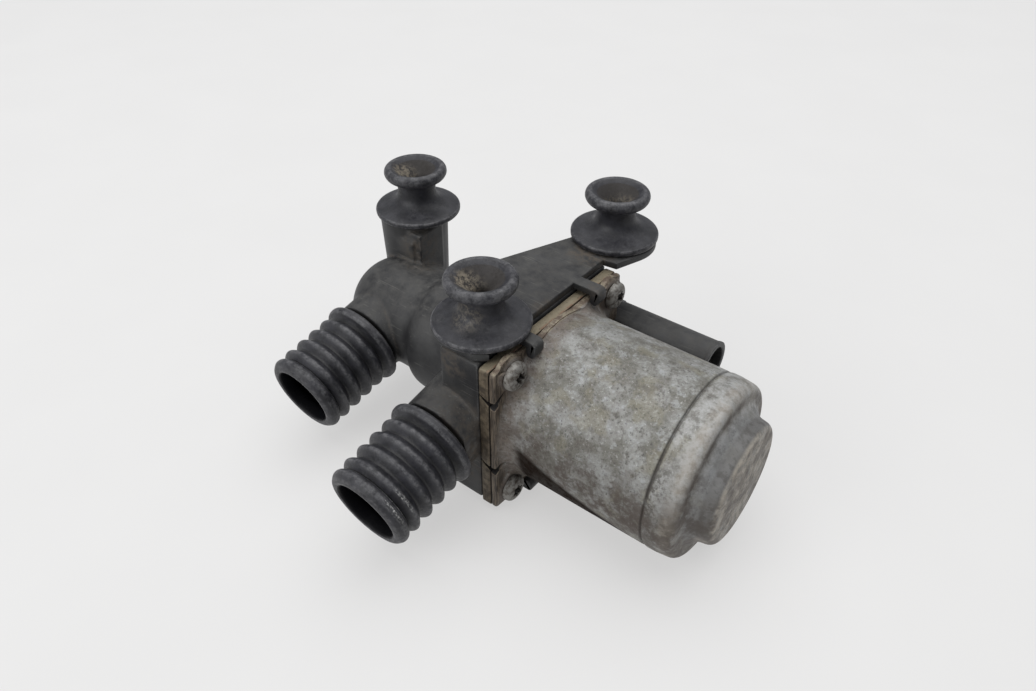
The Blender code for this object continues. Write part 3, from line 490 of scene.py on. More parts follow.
def galvanised(name):
    """Old galvanised steel: patches of grey, white bloom, brown stains, darker brown towards the
    bottom, and an underside of grime and painted shade.
    """
    look = Look(name)
    x = look.axis(0)
    cloud = look.noise(8.0, 5.0, 0.62)
    colour = look.mix(look.spread(cloud, 0.38, 0.62), (0.138, 0.134, 0.116), (0.262, 0.264, 0.252))
    patch = look.noise(3.0, 8.0, 0.76, seed=2.0)
    colour = look.mix(look.spread(patch, 0.53, 0.62, 0.0, 0.5), colour, (0.33, 0.345, 0.35))
    colour = look.mix(look.spread(patch, 0.47, 0.40, 0.0, 0.6), colour, (0.100, 0.093, 0.080))
    green = look.times(look.spread(look.noise(6.0, 4.0, seed=9.0), 0.5, 0.62), 0.5)
    colour = look.mix(green, colour, (0.190, 0.176, 0.125))
    low = look.spread(look.facing(2), 0.5, -0.2)
    stain = look.noise(5.5, 8.0, 0.74, seed=5.0)
    stained = look.times(look.spread(stain, 0.48, 0.58), look.calc("ADD", 0.22, low))
    colour = look.mix(look.times(stained, 0.85, True), colour, (0.082, 0.060, 0.050))
    speck = look.noise(0.8, 6.0, 0.85, seed=7.0)
    colour = look.mix(look.spread(speck, 0.455, 0.38, 0.0, 0.9), colour, (0.050, 0.047, 0.043))
    colour = look.mix(look.spread(speck, 0.57, 0.65, 0.0, 0.7), colour, (0.48, 0.48, 0.47))
    foot = look.spread(x, 9.0, 2.0)
    foot = look.times(foot, look.spread(look.noise(2.6, 6.0, 0.7, seed=13.0), 0.36, 0.6, 0.35, 1.0))
    colour = look.mix(look.times(foot, 0.85), colour, (0.128, 0.101, 0.082))
    edge = look.spread(look.calc("ABSOLUTE", look.calc("SUBTRACT", x, 50.2)), 3.0, 0.8)
    edge = look.times(edge, look.spread(look.noise(4.0, 6.0, 0.7, seed=17.0), 0.38, 0.6, 0.2, 0.9))
    colour = look.mix(edge, colour, (0.235, 0.208, 0.172))
    neck = look.times(look.spread(x, 51.9, 52.8), look.spread(x, 58.2, 56.8))
    colour = look.mix(look.times(neck, 0.5), colour, (0.190, 0.192, 0.196))
    side = look.times(look.spread(x, 54.0, 55.2), look.spread(x, 58.8, 57.6))
    colour = look.mix(look.times(side, 0.7), colour, (0.105, 0.102, 0.098))
    streak = look.noise(2.2, 7.0, 0.75, stretch=(1.5, 1.0, 1.0), seed=19.0)
    dark = look.times(look.spread(x, 54.4, 55.4), look.spread(x, 58.4, 57.2))
    dark = look.times(dark, look.spread(streak, 0.48, 0.60))
    colour = look.mix(look.times(dark, 0.55), colour, (0.060, 0.054, 0.049))
    face = look.spread(x, 57.4, 58.4)
    face = look.times(face, look.spread(look.noise(3.0, 7.0, 0.75, seed=23.0), 0.40, 0.58, 0.15, 0.9))
    colour = look.mix(face, colour, (0.430, 0.390, 0.330))
    # Painted light: the downward faces at the boss's foot are lightened as if lit by the bright floor
    pale = look.times(look.spread(x, 53.0, 54.5), look.spread(look.facing(2), -0.25, -0.5))
    colour = look.mix(look.times(pale, 0.7), colour, (0.42, 0.38, 0.34))
    ring = look.times(look.spread(x, 44.0, 44.8), look.spread(x, 54.0, 52.5))
    ring = look.times(ring, look.spread(look.facing(2), -0.1, 0.4))
    ring = look.times(ring, look.spread(patch, 0.40, 0.58, 0.1, 0.5))
    colour = look.mix(ring, colour, (0.40, 0.40, 0.39))
    # Painted shade along the ring groove, broken up by noise and weaker on the upward faces
    groove = look.spread(look.calc("ABSOLUTE", look.calc("SUBTRACT", x, GROOVE_X)), 0.75, 0.2)
    broken = look.spread(look.noise(5.0, 5.0, 0.6, seed=27.0), 0.34, 0.5, 0.3, 0.9)
    sunk = look.spread(look.facing(2), 0.9, 0.2, 0.35, 1.0)
    groove = look.times(look.times(groove, broken), sunk)
    colour = look.mix(groove, colour, (0.075, 0.070, 0.064))
    # Darker, mottled band round the groove and ring, on the faces that don't face up
    dark_mottle = look.times(look.spread(x, 42.9, 43.9), look.spread(x, 48.5, 44.5))
    dark_mottle = look.times(dark_mottle, look.spread(look.facing(2), 0.75, 0.45))
    dark_mottle = look.times(dark_mottle, look.spread(look.noise(1.2, 7.0, 0.8, seed=37.0), 0.54, 0.44))
    colour = look.mix(look.times(dark_mottle, 0.85), colour, (0.070, 0.064, 0.057))
    # Darker brown towards the bottom, broken up by the stain noise
    lower = look.spread(look.facing(2), 0.6, -0.05)
    lower = look.times(lower, look.spread(stain, 0.40, 0.56, 0.3, 1.0))
    colour = look.mix(look.times(lower, 0.75), colour, (0.056, 0.044, 0.035))
    # The underside: near-black grime deepened as painted shade, with its metal shine and specular
    # turned down as painted shade
    slope = look.times(look.calc("SUBTRACT", x, 12.0), 0.016)
    under = look.spread(look.calc("ADD", look.facing(2), slope), -0.03, -0.13)
    under = look.times(under, look.spread(x, 4.0, 7.0, 0.0, 1.0))
    under = look.times(under, look.spread(patch, 0.3, 0.6, 0.9, 1.0))
    colour = look.mix(look.times(under, 0.97), colour, (0.012, 0.008, 0.006))
    shine = look.calc("SUBTRACT", 1.0, under)
    look.feed(look.surface.inputs["Metallic"], look.times(shine, 0.25))
    look.feed(look.surface.inputs["Specular IOR Level"], look.times(shine, 0.5))
    crust = look.spread(look.noise(1.5, 7.0, 0.8, seed=31.0), 0.47, 0.38, 0.0, 0.85)
    crust = look.times(crust, look.spread(x, 6.0, 2.5))
    for screw_y, screw_z in SCREWS:
        around = look.near((SCREW_SEAT_X, screw_y, screw_z), 4.2, 5.8)
        crust = look.calc("MAXIMUM", crust, look.times(around, 0.6))
    colour = look.mix(crust, colour, (0.062, 0.047, 0.037))
    rim = look.spread(x, 1.1, 0.5)
    lines = look.noise(0.40, 4.0, 0.65, stretch=(1.0, 1.0, 20.0), seed=29.0)
    rust = look.mix(look.spread(lines, 0.45, 0.58), (0.048, 0.037, 0.027), (0.135, 0.106, 0.076))
    dusted = look.mix(look.spread(patch, 0.44, 0.58), (0.100, 0.070, 0.050), (0.245, 0.210, 0.150))
    rust = look.mix(look.spread(look.facing(2), 0.4, 0.9), rust, dusted)
    colour = look.mix(look.times(rim, 0.95), colour, rust)
    # The gaps' walls are painted dark as shade
    colour = look.mix(gap_shade_mask(look), colour, GAP_SHADE)
    rough = look.spread(patch, 0.3, 0.7, 0.66, 0.46)
    relief = look.calc("ADD", look.times(patch, 1.4), look.times(speck, 0.6))
    return look.done(colour, rough, relief, 0.12)


def tarnished(name, tint, dark, light):
    """Plated steel gone dull, with vertical tool marks on its edge."""
    look = Look(name, 0.3)
    cloud = look.noise(3.0, 6.0, 0.7)
    colour = look.mix(look.spread(cloud, 0.36, 0.64), dark, tint)
    lines = look.noise(0.42, 3.0, 0.6, stretch=(1.0, 1.0, 26.0), seed=3.0)
    colour = look.mix(look.spread(lines, 0.54, 0.66, 0.0, 0.6), colour, dark)
    bright = look.times(look.spread(look.facing(2), 0.5, 0.95), 0.85)
    colour = look.mix(bright, colour, light)
    rust = look.spread(look.noise(1.4, 5.0, seed=6.0), 0.4, 0.6)
    rust = look.times(look.spread(look.axis(0), -2.5, -1.6), rust)
    colour = look.mix(look.times(rust, bright), colour, (0.20, 0.105, 0.068))
    dark_mottle = look.spread(look.noise(1.0, 6.0, 0.75, seed=8.0), 0.44, 0.36, 0.0, 0.7)
    colour = look.mix(dark_mottle, colour, (0.060, 0.050, 0.040))
    # The gaps' walls are painted dark as shade
    colour = look.mix(gap_shade_mask(look), colour, GAP_SHADE)
    relief = look.calc("ADD", lines, look.noise(0.5, 4.0, 0.7, seed=9.0))
    return look.done(colour, look.spread(cloud, 0.3, 0.7, 0.7, 0.5), relief, 0.09)


def plain_metal(name, tint, dark, roughness, metallic=0.9):
    """Machined or wound metal, with faint marks and painted shade in its hollows."""
    look = Look(name, metallic)
    cloud = look.noise(1.6, 5.0, 0.65)
    colour = look.mix(look.spread(cloud, 0.35, 0.6), dark, tint)
    # Painted shade in the hollows
    hollow = look.spread(look.bend(), -0.1, -0.6)
    colour = look.mix(look.times(hollow, 0.85), colour, (0.035, 0.031, 0.027))
    rough = look.spread(cloud, 0.3, 0.7, roughness + 0.12, roughness - 0.05)
    return look.done(colour, rough, cloud, 0.03)


# ---------------------------------------------------------------- can and its flange


def flange_outline(angles):
    """How far the flange reaches from the can's axis in each direction."""
    reach = np.arange(24.0, 46.0, 0.04)
    y = np.cos(angles)[:, None] * reach
    z = CAN_Z + np.sin(angles)[:, None] * reach
    middle = [sum(FLANGE_Y) / 2, sum(FLANGE_Z) / 2]
    half = [(FLANGE_Y[1] - FLANGE_Y[0]) / 2, (FLANGE_Z[1] - FLANGE_Z[0]) / 2]
    past_y = np.maximum(np.abs(y - middle[0]) - half[0] + FLANGE_CORNER_R, 0.0)
    past_z = np.maximum(np.abs(z - middle[1]) - half[1] + FLANGE_CORNER_R, 0.0)
    inside = np.hypot(past_y, past_z) <= FLANGE_CORNER_R
    for screw_y, screw_z in SCREWS:
        inside |= np.hypot(y - screw_y, z - screw_z) <= SCREW_PAD_R
    outline = np.where(inside, reach, 0.0).max(1)
    return np.maximum(outline, CAN_R + 0.25)


def smooth_step(value):
    value = np.clip(value, 0.0, 1.0)
    return value * value * (3 - 2 * value)


def flange_front(y, z, inward, room):
    """Height of the flange's front: the flare round the can and a raised pad under each screw.

    Each point is inward of the flange's edge, and room is the flange's width outside the can.
    """
    out = np.clip((np.hypot(y, z - CAN_Z) - CAN_R) / FLARE_REACH, 0.0, 1.0)
    flare = FLARE_HEIGHT * (1 - np.sqrt(1 - (1 - out) ** 2)) * smooth_step((room - 0.3) / 2.0)
    pad = np.zeros_like(y)
    for screw_y, screw_z in SCREWS:
        toward = math.copysign(8.0, CAN_Z - screw_z)
        along = np.clip((z - screw_z) / toward, 0.0, 1.0)
        lean = 0.30 * (0.0 - math.copysign(1.0, screw_y)) * along * 8.0
        away = np.hypot(y - screw_y - lean, z - screw_z - along * toward)
        pad = np.maximum(pad, PAD_HEIGHT * smooth_step((5.3 - 2.6 * along - away) / 1.1))
    pad *= smooth_step(inward / 1.2)
    waves = 0.10 * np.sin(y * 0.9 + 1.0) * np.sin(z * 0.55) + 0.06 * np.sin(z * 1.7 + y)
    rise = np.maximum(flare, pad) + 0.25 * np.minimum(flare, pad) + waves * (1 - smooth_step(flare))
    return FLANGE_X[1] + rise


def can_profile():
    """(x, radius) along the can past the flare, over its end and boss, then back inside."""
    return rounded(
        [
            (5.6, CAN_R),
            (20.0, CAN_R + 0.02),
            (42.6, CAN_R),
            (43.1, CAN_R - 0.05, 0.2),
            (GROOVE_X, CAN_R - 0.55, 0.15),
            (43.9, CAN_R - 0.02, 0.2),
            (44.6, CAN_R + 0.12, 0.4),
            (46.8, CAN_R + 0.05, 0.4),
            (51.9, CAN_R - 0.6, 4.2),
            (52.1, 20.2, 1.2),
            (54.4, 17.6, 1.0),
            (58.5, 16.9, 2.6),
            (58.9, 9.0, 3.0),
            (59.2, 0.0),
        ],
        7,
    )


def make_can():
    """The drawn can as one shell, from the flange's back over its front, the can and the boss."""
    steps = 320
    angles = np.linspace(0.0, 2 * math.pi, steps, endpoint=False)
    cos, sin = np.cos(angles), np.sin(angles)
    outline = flange_outline(angles)
    lip = np.minimum(0.6, (outline - CAN_R) * 0.4)
    room = outline - CAN_R
    edge_x = flange_front(cos * (outline - lip), CAN_Z + sin * (outline - lip), 0.0, room)
    back = FLANGE_X[0]
    rings = [
        (np.full(steps, back), np.full(steps, CAN_INSIDE_R)),
        (np.full(steps, back), outline - 0.25),
        (np.full(steps, back + 0.25), outline),
        ((edge_x - lip + back) / 2, outline),
        (edge_x - lip, outline),
        (edge_x - lip * 0.3, outline - lip * 0.3),
    ]
    for t in np.linspace(0.0, 1.0, 34):
        reach = CAN_R + (outline - lip - CAN_R) * (1 - t) ** 1.6
        front = flange_front(cos * reach, CAN_Z + sin * reach, outline - lip - reach, room)
        rings.append((front, reach))
    rings += [(np.full(steps, x), np.full(steps, r)) for x, r in can_profile()[1:-1]]
    count = len(rings)
    inside = [(56.7, 14.6), (51.2, 15.4), (50.2, 15.6), (50.2, 20.4), (47.2, CAN_INSIDE_R)]
    rings += [(np.full(steps, x), np.full(steps, r)) for x, r in inside]
    points = [
        (x[i], cos[i] * r[i], CAN_Z + sin[i] * r[i]) for x, r in rings for i in range(steps)
    ]
    points += [(59.2, 0.0, CAN_Z), (56.7, 0.0, CAN_Z)]
    tip = len(rings) * steps
    faces = []
    pairs = [(a, a + 1) for a in range(count - 1)]
    pairs += [(a, a + 1) for a in range(count, len(rings) - 1)] + [(len(rings) - 1, 0)]
    for i in range(steps):
        j = (i + 1) % steps
        for a, b in pairs:
            faces.append((a * steps + i, a * steps + j, b * steps + j, b * steps + i))
        faces.append(((count - 1) * steps + i, (count - 1) * steps + j, tip))
        faces.append((count * steps + i, count * steps + j, tip + 1))
    return new_piece("can", points, faces)


def gap_cutter(name, path, outward, depth):
    """A cutter for a tapering gap along (place, width) points on a flat face."""
    outward = np.array(outward, float)
    points = []
    for place, width in path:
        for out, side in ((1.5, 0.75), (1.5, -0.75), (-depth, -0.2), (-depth, 0.2)):
            points.append(np.array(place) + outward * out + np.array((0.0, 0.0, width * side)))
    last = 4 * (len(path) - 1)
    faces = [(0, 1, 2, 3), (last, last + 1, last + 2, last + 3)]
    for i in range(len(path) - 1):
        for k in range(4):
            a, b = 4 * i + k, 4 * i + (k + 1) % 4
            faces.append((a, b, b + 4, a + 4))
    return new_piece(name, points, faces)


def edge_gaps(name):
    """Cutters for the two curved gaps that wrap the flange's edge towards the ports."""
    cutters = []
    y = FLANGE_Y[0]
    for i, z in enumerate((38.6, 14.6)):
        side = [
            ((-4.6, y, z + 2.4), 0.6),
            ((-3.4, y, z + 1.4), 1.2),
            ((-1.8, y, z + 0.5), 1.7),
            ((-0.6, y, z + 0.1), 2.5),
            ((0.9, y, z), 3.0),
            ((1.6, y, z + 0.2), 3.0),
        ]
        x = FLANGE_X[1]
        front = [
            ((x, y - 0.6, z), 3.0),
            ((x, y + 0.6, z + 0.5), 2.8),
            ((x, y + 2.2, z + 1.7), 1.9),
            ((x, y + 4.9, z + 4.2), 0.3),
        ]
        cutters.append(gap_cutter(f"{name}_side_gap_{i}", side, (0.0, -1.0, 0.0), 1.8))
        cutters.append(gap_cutter(f"{name}_front_gap_{i}", front, (1.0, 0.0, 0.0), 1.3))
    return cutters


def pockets(name):
    """Small cutters for the dark gaps beside the upper screws' heads."""
    places = (
        ((1.3, -25.4, 49.3), (0.9, 1.5, 0.8)),
        ((1.3, 21.0, 48.9), (0.9, 1.4, 0.8)),
        ((1.2, 27.0, 39.9), (0.9, 0.7, 1.4)),
    )
    made = []
    for i, (middle, half) in enumerate(places):
        outline = rounded([(0, 1), (1, 1, 0.9), (1, -1, 0.9), (0, -1)])
        ball = lathe(f"{name}_pocket_{i}", outline, steps=16)
        points = [Vector(v.co) - Vector(SHIFT) for v in ball.data.vertices]
        for vertex, point in zip(ball.data.vertices, points):
            scaled = [point[k] * half[k] + middle[k] * MM for k in range(3)]
            vertex.co = Vector(scaled) + Vector(SHIFT)
        made.append(ball)
    return made


def rounded_rect(y, z, corner):
    return rounded(
        [(y[0], z[0], corner), (y[1], z[0], corner), (y[1], z[1], corner), (y[0], z[1], corner)],
        7,
        closed=True,
    )


def make_yoke():
    """The steel plate behind the can, with its bore, its slot for the pins and room for the coil."""
    outline = rounded_rect(FLANGE_Y, FLANGE_Z, FLANGE_CORNER_R)
    plate = slab("yoke", outline, *YOKE_X, axis=0, bevel=0.35)
    bore = lathe("yoke_bore", [(0, -8), (9.2, -8), (9.2, 1), (0, 1)], (0, 0, CAN_Z), (1, 0, 0), 64)
    slot = block("yoke_slot", (-8, 1), (17.4, 19.8), (25.4, 30.6))
    space, radius = COIL_SPACE
    room = [(0, space), (radius, space), (radius, 1), (0, 1)]
    coil = lathe("yoke_coil_space", room, (0, 0, CAN_Z), (1, 0, 0))
    return cut(plate, bore, slot, coil, *edge_gaps("yoke"))


def make_screw(number, y, z):
    """A pan head with a six-lobe recess, on its shank."""
    profile = rounded(
        [
            (0.0, 2.5),
            (2.6, 2.45, 0.8),
            (3.9, 1.7, 0.9),
            (4.1, 0.45, 0.4),
            (4.0, 0.0, 0.15),
            (2.0, 0.0),
            (2.0, -14.2, 0.4),
            (1.1, -15.0, 0.3),
            (0.0, -15.0),
        ]
    )
    head = lathe(f"screw_{number}", profile, (SCREW_SEAT_X, y, z), (1, 0, 0), 64)
    turn = math.radians(17 * number)
    lobes = []
    for i in range(48):
        angle = 2 * math.pi * i / 48
        radius = 1.65 + 0.34 * math.cos(6 * angle)
        lobes.append((y + radius * math.cos(angle + turn), z + radius * math.sin(angle + turn)))
    low, high = SCREW_SEAT_X + 0.9, SCREW_SEAT_X + 4
    points = [(low, a, b) for a, b in lobes] + [(high, a, b) for a, b in lobes]
    count = len(lobes)
    faces = [tuple(range(count)), tuple(range(count, 2 * count))]
    faces += [(i, (i + 1) % count, (i + 1) % count + count, i + count) for i in range(count)]
    return cut(head, new_piece(f"screw_recess_{number}", points, faces))


# ---------------------------------------------------------------- moulded parts


def arc(centre, radius, start, end, count):
    angles = [math.radians(start + (end - start) * i / (count - 1)) for i in range(count)]
    return [(centre[0] + radius * math.cos(a), centre[1] + radius * math.sin(a)) for a in angles]


def hook(name, outline, y):
    """A snap hook from its (x, z) outline."""
    return slab(name, outline, y - HOOK_W / 2, y + HOOK_W / 2, axis=1, bevel=0.35)


def low_hook(name, y):
    outline = rounded(
        [
            (-9.6, -2.3),
            (2.9, -2.3, 0.9),
            (3.6, -1.3, 0.8),
            (3.6, 0.2, 0.8),
            (2.4, 1.4, 0.6),
            (0.7, 1.3, 0.3),
            (0.7, -0.7, 0.2),
            (-5.7, -0.7),
            (-5.7, 1.8),
            (-9.6, 1.8),
        ],
        closed=True,
    )
    return hook(name, outline, y)


def main_tube():
    """(radius, x) of the main tube: chamber behind the box, moulding seam and domed end."""
    turns = np.linspace(0, math.pi / 2, 20)
    dome = [(TUBE_R * math.cos(a), DOME_X - TUBE_R * math.sin(a)) for a in turns]
    return (
        [(0.0, -12.0), (19.6, -12.0)]
        + rounded([(19.6, -38.0), (19.4, -42.0, 2.0), (16.6, -46.0, 2.0), (TUBE_R, -50.0)])
        + dome[:-1]
        + [(0.0, DOME_X - TUBE_R)]
    )


def make_body():
    """The moulded valve body, fused soft, then bored."""
    along = (1.0, 0.0, 0.0)
    shells = [slab("body_box", rounded_rect(FLANGE_Y, BOX_Z, 1.2), *BOX_X, axis=0, bevel=0.3)]
    shells.append(lathe("body_tube", main_tube(), (0.0, *TUBE_YZ), along, 128))
    for i, mouth in enumerate(PORT_MOUTHS):
        stub = rounded(
            [
                (0.0, PORT_REACH[i]),
                (12.6, PORT_REACH[i]),
                (11.8, PORT_REACH[i] - 9.0, 3.0),
                (11.8, 28.5, 0.5),
                (9.0, 28.5),
                (9.0, 21.0, 0.5),
                (8.3, 19.5, 0.3),
                (0.0, 19.5),
            ]
        )
        shells.append(lathe(f"body_port_{i}", stub, mouth, PORT_WAY))
    post = [(0.0, 52.9), (10.7, 52.9), (9.7, 20.0), (0.0, 20.0)]
    shells.append(lathe("body_post", post, (*POST_AT, 0.0)))
    shells.append(block("body_rib", (-66.0, -57.4), (7.0, 17.5), (25.7, 51.4)))
    shells.append(block("body_rib_step", (-68.0, -59.6), (5.9, 12.0), (36.0, 48.6)))
    body = fuse("body", shells, 0.45, 5)
    bore = [(0.0, 4.0), (11.5, 4.0), (11.5, DOME_X)]
    bore += [(11.5 * math.cos(a), DOME_X - 11.5 * math.sin(a)) for a in np.linspace(0.2, 1.4, 7)]
    bore.append((0.0, DOME_X - 11.5))
    holes = [lathe("body_bore", bore, (0.0, 0.0, CAN_Z), along, 64)]
    for i, mouth in enumerate(PORT_MOUTHS):
        way = [(0.0, PORT_REACH[i] - 2), (7.0, PORT_REACH[i] - 2), (7.0, 14.0), (0.0, 14.0)]
        holes.append(lathe(f"body_port_bore_{i}", way, mouth, PORT_WAY, 64))
    floor, inner, outer = FACE_GROOVE
    groove = [(inner, floor), (outer, floor), (outer, 2.0), (inner, 2.0)]
    holes.append(lathe("body_groove", groove, (0.0, 0.0, CAN_Z), along))
    front = block("body_front", (BOX_X[1], 8.0), (-90.0, 60.0), (-20.0, 80.0))
    return cut(body, *holes, front)


def make_bracket():
    """The plate with its two upper hooks, each a crisp moulding."""
    pad = ISOLATORS[1]
    outline = [(-17.6, FLANGE_Y[0])] + arc(ISOLATORS[2], 12.6, -62, -42, 6)
    outline += [(-4.9, -24.0), (-4.9, 29.4), (-0.6, 30.0)]
    outline += arc(pad, 12.9, -20, 221, 40) + [(-28.9, 11.0), (-24.0, -8.0)]
    plate = slab("plate", outline, *PLATE_Z, bevel=0.4, rim=0.6)
    top = PLATE_Z[1] + 0.1
    profile = rounded(
        [
            (-6.2, 50.9),
            (0.7, 50.9, 0.2),
            (0.8, 48.7, 0.4),
            (1.6, 48.0, 0.5),
            (2.7, 47.9, 0.6),
            (3.7, 49.3, 0.8),
            (3.7, 52.0, 0.9),
            (2.7, top, 0.8),
            (-6.2, top),
        ],
        closed=True,
    )
    return plate, [hook(f"hook_{i + 1}", profile, y) for i, y in enumerate(HOOK_Y)]


def isolator_profile():
    """(radius, height) from the funnel's floor over the ring, neck and flared disc."""
    return rounded(
        [
            (0.0, 6.4),
            (1.7, 6.5, 0.8),
            (1.9, 9.9, 1.2),
            (3.9, 12.2, 1.6),
            (6.7, 14.5, 1.3),
            (8.1, 15.3, 0.9),
            (9.4, 14.6, 0.9),
            (9.75, 13.1, 1.2),
            (8.9, 11.6, 1.2),
            (6.2, 10.9, 0.8),
            (5.8, 8.2, 2.0),
            (6.1, 5.2, 1.9),
            (8.4, 3.3, 2.4),
            (12.2, 2.2, 1.6),
            (13.3, 1.7, 0.5),
            (13.25, 0.3, 0.5),
            (12.4, 0.0, 0.4),
            (0.0, 0.0),
        ],
        6,
    )


def bellows_profile():
    """(radius, distance from the mouth) of the bellows: outside from collar to mouth, then inside."""
    pitch, collar = 4.77, 25.5
    outside = rounded(
        [
            (9.4, 27.4),
            (12.3, 27.35, 0.8),
            (13.6, 26.6, 0.9),
            (13.6, 24.6, 0.9),
            (11.6, 23.7, 0.8),
        ]
    )
    inside = []
    for i in range(1, 5):
        middle = collar - pitch * i
        for t in np.linspace(-0.46, 0.46, 17):
            swell = (0.5 + 0.5 * math.cos(2 * math.pi * t)) ** 0.75
            outside.append((10.95 + 1.9 * swell, middle - t * pitch))
    first_inside = len(outside) + 22
    outside += rounded(
        [
            (11.3, 4.2),
            (12.5, 3.3, 0.7),
            (12.75, 1.9, 0.7),
            (11.6, 0.3, 1.0),
            (10.3, 0.0, 0.4),
            (9.3, 0.3, 0.5),
            (9.2, 1.4, 0.5),
            (9.3, 3.2),
        ]
    )
    for i in range(4, 0, -1):
        middle = collar - pitch * i
        for t in np.linspace(-0.45, 0.45, 9):
            inside.append((9.3 + 1.7 * math.cos(math.pi * t), middle + t * pitch))
    inside.append((9.3, collar))
    profile = outside + inside
    return profile, range(first_inside, len(profile))


def make_socket():
    """The plug socket's tube and the root that ties it to the body."""
    tube = rounded(
        [
            (7.2, -4.0),
            (7.2, 30.2, 0.5),
            (7.4, 30.9, 0.4),
            (7.4, 31.7, 0.15),
            (7.2, 31.8, 0.1),
            (5.9, 31.8, 0.2),
            (5.7, 31.4, 0.2),
            (5.7, 11.0),
            (1.0, 10.8),
            (1.0, -4.0),
        ]
    )
    shells = [lathe("socket_tube", tube, (0.0, *SOCKET_YZ), (1, 0, 0))]
    root = slab("socket_root", rounded_rect((31.4, 41.2), (19.0, 33.5), 2.0), -18.0, -2.0, axis=0)
    shells.append(root)
    return shells


# ---------------------------------------------------------------- the pieces

zinc = galvanised("galvanised_steel")
tan = tarnished(
    "tarnished_steel", (0.140, 0.112, 0.076), (0.048, 0.037, 0.026), (0.25, 0.215, 0.150)
)
screw_look = plain_metal("screw_steel", (0.215, 0.208, 0.192), (0.060, 0.049, 0.039), 0.5, 0.3)
body_plastic = worn_plastic(
    "body_plastic",
    0.6,
    dusty=(
        ((-10.0, -27.7, 22.0), 20.0, 0.55),
        ((-13.0, -26.0, 12.0), 9.0, 0.9),
        ((-57.0, 8.0, 46.0), 10.0, 0.5),
        ((-5.0, -32.0, 20.0), 8.0, 1.0),
        ((-14.0, -28.0, 47.0), 7.0, 0.5),
    ),
)
plate_plastic = worn_plastic(
    "plate_plastic",
    0.2,
    dusty=(
        ((-9.8, 30.0, 53.0), 9.0, 0.8),
        ((-4.0, 0.0, 53.0), 5.0, 0.5),
        ((2.0, 16.0, 52.0), 4.0, 0.4),
    ),
)
rubber = worn_rubber(
    "isolator_rubber",
    ((0.060, 0.054, 0.047), 0.5),
    dusty=(
        ((-14.5, -18.5, 66.0), 6.0, 1.0),
        ((-69.5, 15.5, 66.0), 5.5, 0.8),
        ((-8.8, 42.0, 65.0), 5.5, 0.6),
        ((-10.0, -19.0, 67.5), 4.0, 0.5),
        ((-12.6, -22.0, 59.0), 6.0, 0.35),
    ),
)
bellows_rubber = worn_rubber(
    "bellows_rubber",
    # The near-black inside is painted shade in the bellows' bore
    ((0.004, 0.004, 0.005), 0.95),
    dusty=(((-62.0, -17.0, 24.0), 5.0, 0.5), ((-10.0, -35.0, 24.0), 5.0, 0.4)),
    scuffs=(((-7.0, -58.0, 24.0), 6.0),),
)
bright = plain_metal("bright_steel", (0.56, 0.56, 0.55), (0.42, 0.42, 0.42), 0.28)
brass = plain_metal("brass", (0.62, 0.45, 0.20), (0.46, 0.33, 0.15), 0.32)
copper = plain_metal("copper_wire", (0.60, 0.27, 0.13), (0.40, 0.17, 0.08), 0.36)
nylon = plain_metal("bobbin_nylon", (0.62, 0.58, 0.48), (0.50, 0.46, 0.38), 0.50, 0.0)
seal_rubber = plain_metal("seal_rubber", (0.035, 0.035, 0.038), (0.022, 0.022, 0.024), 0.60, 0.0)
tin = plain_metal("tinned_pins", (0.60, 0.60, 0.58), (0.48, 0.48, 0.47), 0.30)

finish(cut(make_can(), *edge_gaps("can"), *pockets("can")), zinc, "solenoid_can")
finish(make_yoke(), tan, "yoke_plate")
for i, (screw_y, screw_z) in enumerate(SCREWS):
    screw = make_screw(i + 1, screw_y, screw_z)
    finish(screw, screw_look, f"flange_screw_{i + 1}", blur=0)

finish(make_body(), body_plastic, "valve_body", sharp=60)
for i, hook_y in enumerate(HOOK_Y):
    finish(low_hook(f"low_hook_{i + 1}", hook_y), body_plastic, "valve_body")
plate_piece, hooks = make_bracket()
finish(plate_piece, plate_plastic, "mounting_bracket")
for piece in hooks:
    finish(piece, plate_plastic, "mounting_bracket")
for i, (at_x, at_y) in enumerate(ISOLATORS):
    place = (at_x, at_y, ISOLATOR_Z)
    piece = lathe(f"rubber_isolator_{i + 1}", isolator_profile(), place, hollow=range(20))
    finish(piece, rubber, f"isolator_{i + 1}")
for i, mouth_at in enumerate(PORT_MOUTHS):
    section, hollow = bellows_profile()
    piece = lathe(f"rubber_bellows_{i + 1}", section, mouth_at, PORT_WAY, 128, hollow)
    finish(piece, bellows_rubber, f"bellows_{i + 1}", sharp=60, blur=0)
tube_piece, root_piece = make_socket()
finish(tube_piece, body_plastic, "connector_housing")
finish(root_piece, body_plastic, "connector_housing")

INNER = {
    "terminal_pin_1": tin,
    "terminal_pin_2": tin,
    "bobbin": nylon,
    "coil_winding": copper,
    "pole_core": bright,
    "stop_washer": brass,
    "guide_tube": brass,
    "guide_bush": brass,
    "plunger": bright,
    "return_spring": bright,
    "valve_stem": bright,
    "disc_seal": seal_rubber,
    "valve_disc": brass,
    "retaining_clip": bright,
    "seat_ring": brass,
    "stem_seal": seal_rubber,
    "face_seal": seal_rubber,
}
for node, look in INNER.items():
    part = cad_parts[node]
    part.data.materials.clear()
    part.data.materials.append(look)


# ---------------------------------------------------------------- floor, light, camera


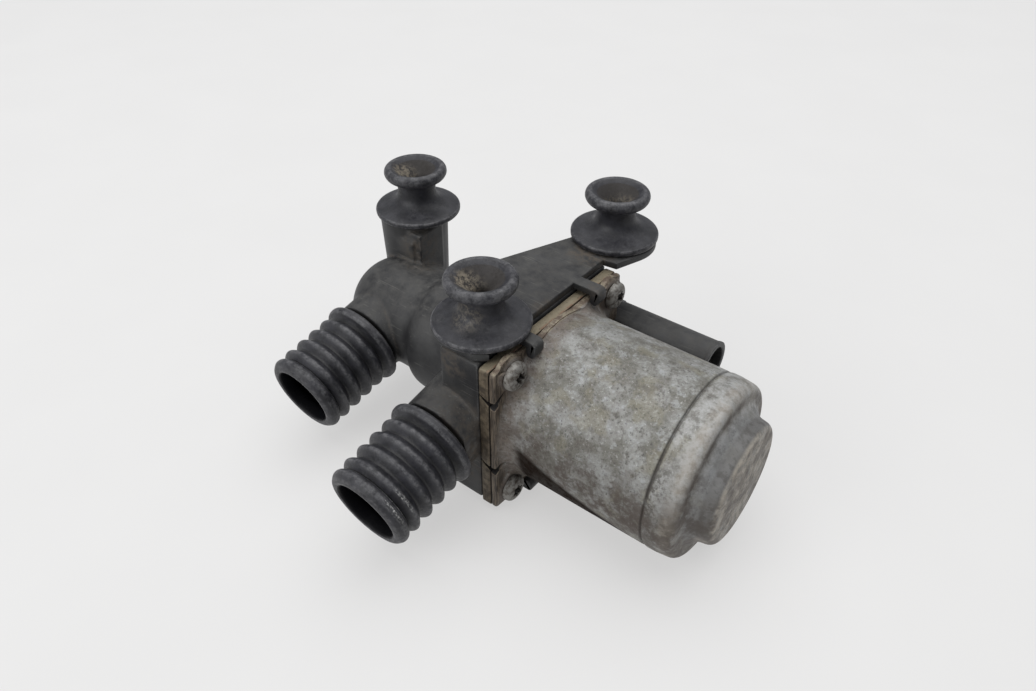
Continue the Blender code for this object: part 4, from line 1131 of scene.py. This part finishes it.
def make_floor():
    """A wide pale sheet that glows a little, which keeps the shadows soft."""
    half = FLOOR_HALF
    mesh = bpy.data.meshes.new("floor")
    corners = [(-half, -half, 0.0), (half, -half, 0.0), (half, half, 0.0), (-half, half, 0.0)]
    mesh.from_pydata(corners, [], [(0, 1, 2, 3)])
    floor = bpy.data.objects.new("floor", mesh)
    bpy.context.scene.collection.objects.link(floor)
    look = Look("floor_paper")
    grain = look.noise(60.0, 3.0)
    colour = look.mix(look.spread(grain, 0.3, 0.7), (0.222, 0.222, 0.220), (0.230, 0.230, 0.228))
    look.surface.inputs["Emission Color"].default_value = (1.0, 0.992, 0.985, 1.0)
    look.surface.inputs["Emission Strength"].default_value = FLOOR_GLOW
    mesh.materials.append(look.done(colour, 0.8))


def area_light(name, place, aim, size, power):
    """A disk light at a place in metres, aimed at a point."""
    lamp = bpy.data.lights.new(name, "AREA")
    lamp.shape = "DISK"
    lamp.size = size
    lamp.energy = power
    obj = bpy.data.objects.new(name, lamp)
    bpy.context.scene.collection.objects.link(obj)
    obj.location = place
    obj.rotation_euler = (Vector(aim) - Vector(place)).to_track_quat("-Z", "Y").to_euler()


def make_camera():
    """The camera at the photograph's viewing angle."""
    data = bpy.data.cameras.new("camera")
    data.lens = LENS
    data.sensor_width = SENSOR
    data.clip_start = 0.01
    camera = bpy.data.objects.new("camera", data)
    bpy.context.scene.collection.objects.link(camera)
    turn = Euler((math.radians(CAMERA_TILT), 0.0, math.radians(CAMERA_PAN)), "XYZ").to_matrix()
    roll = Matrix.Rotation(math.radians(CAMERA_ROLL), 3, "Z")
    camera.matrix_world = (turn @ roll).to_4x4()
    camera.location = np.array(CAMERA_AT) * MM + SHIFT
    bpy.context.scene.camera = camera


make_floor()
area_light("key", (-0.1, 0.2, 1.2), (0.0, 0.0, 0.0), 1.8, 16.0)
area_light("front", (-0.35, -1.1, 0.75), (0.0, 0.0, 0.02), 1.0, 9.0)
world = bpy.data.worlds.new("studio")
world.use_nodes = True
world.node_tree.nodes["Background"].inputs["Color"].default_value = (0.93, 0.95, 1.0, 1.0)
world.node_tree.nodes["Background"].inputs["Strength"].default_value = SKY_STRENGTH
bpy.context.scene.world = world
bpy.context.scene.view_settings.view_transform = "Standard"
make_camera()
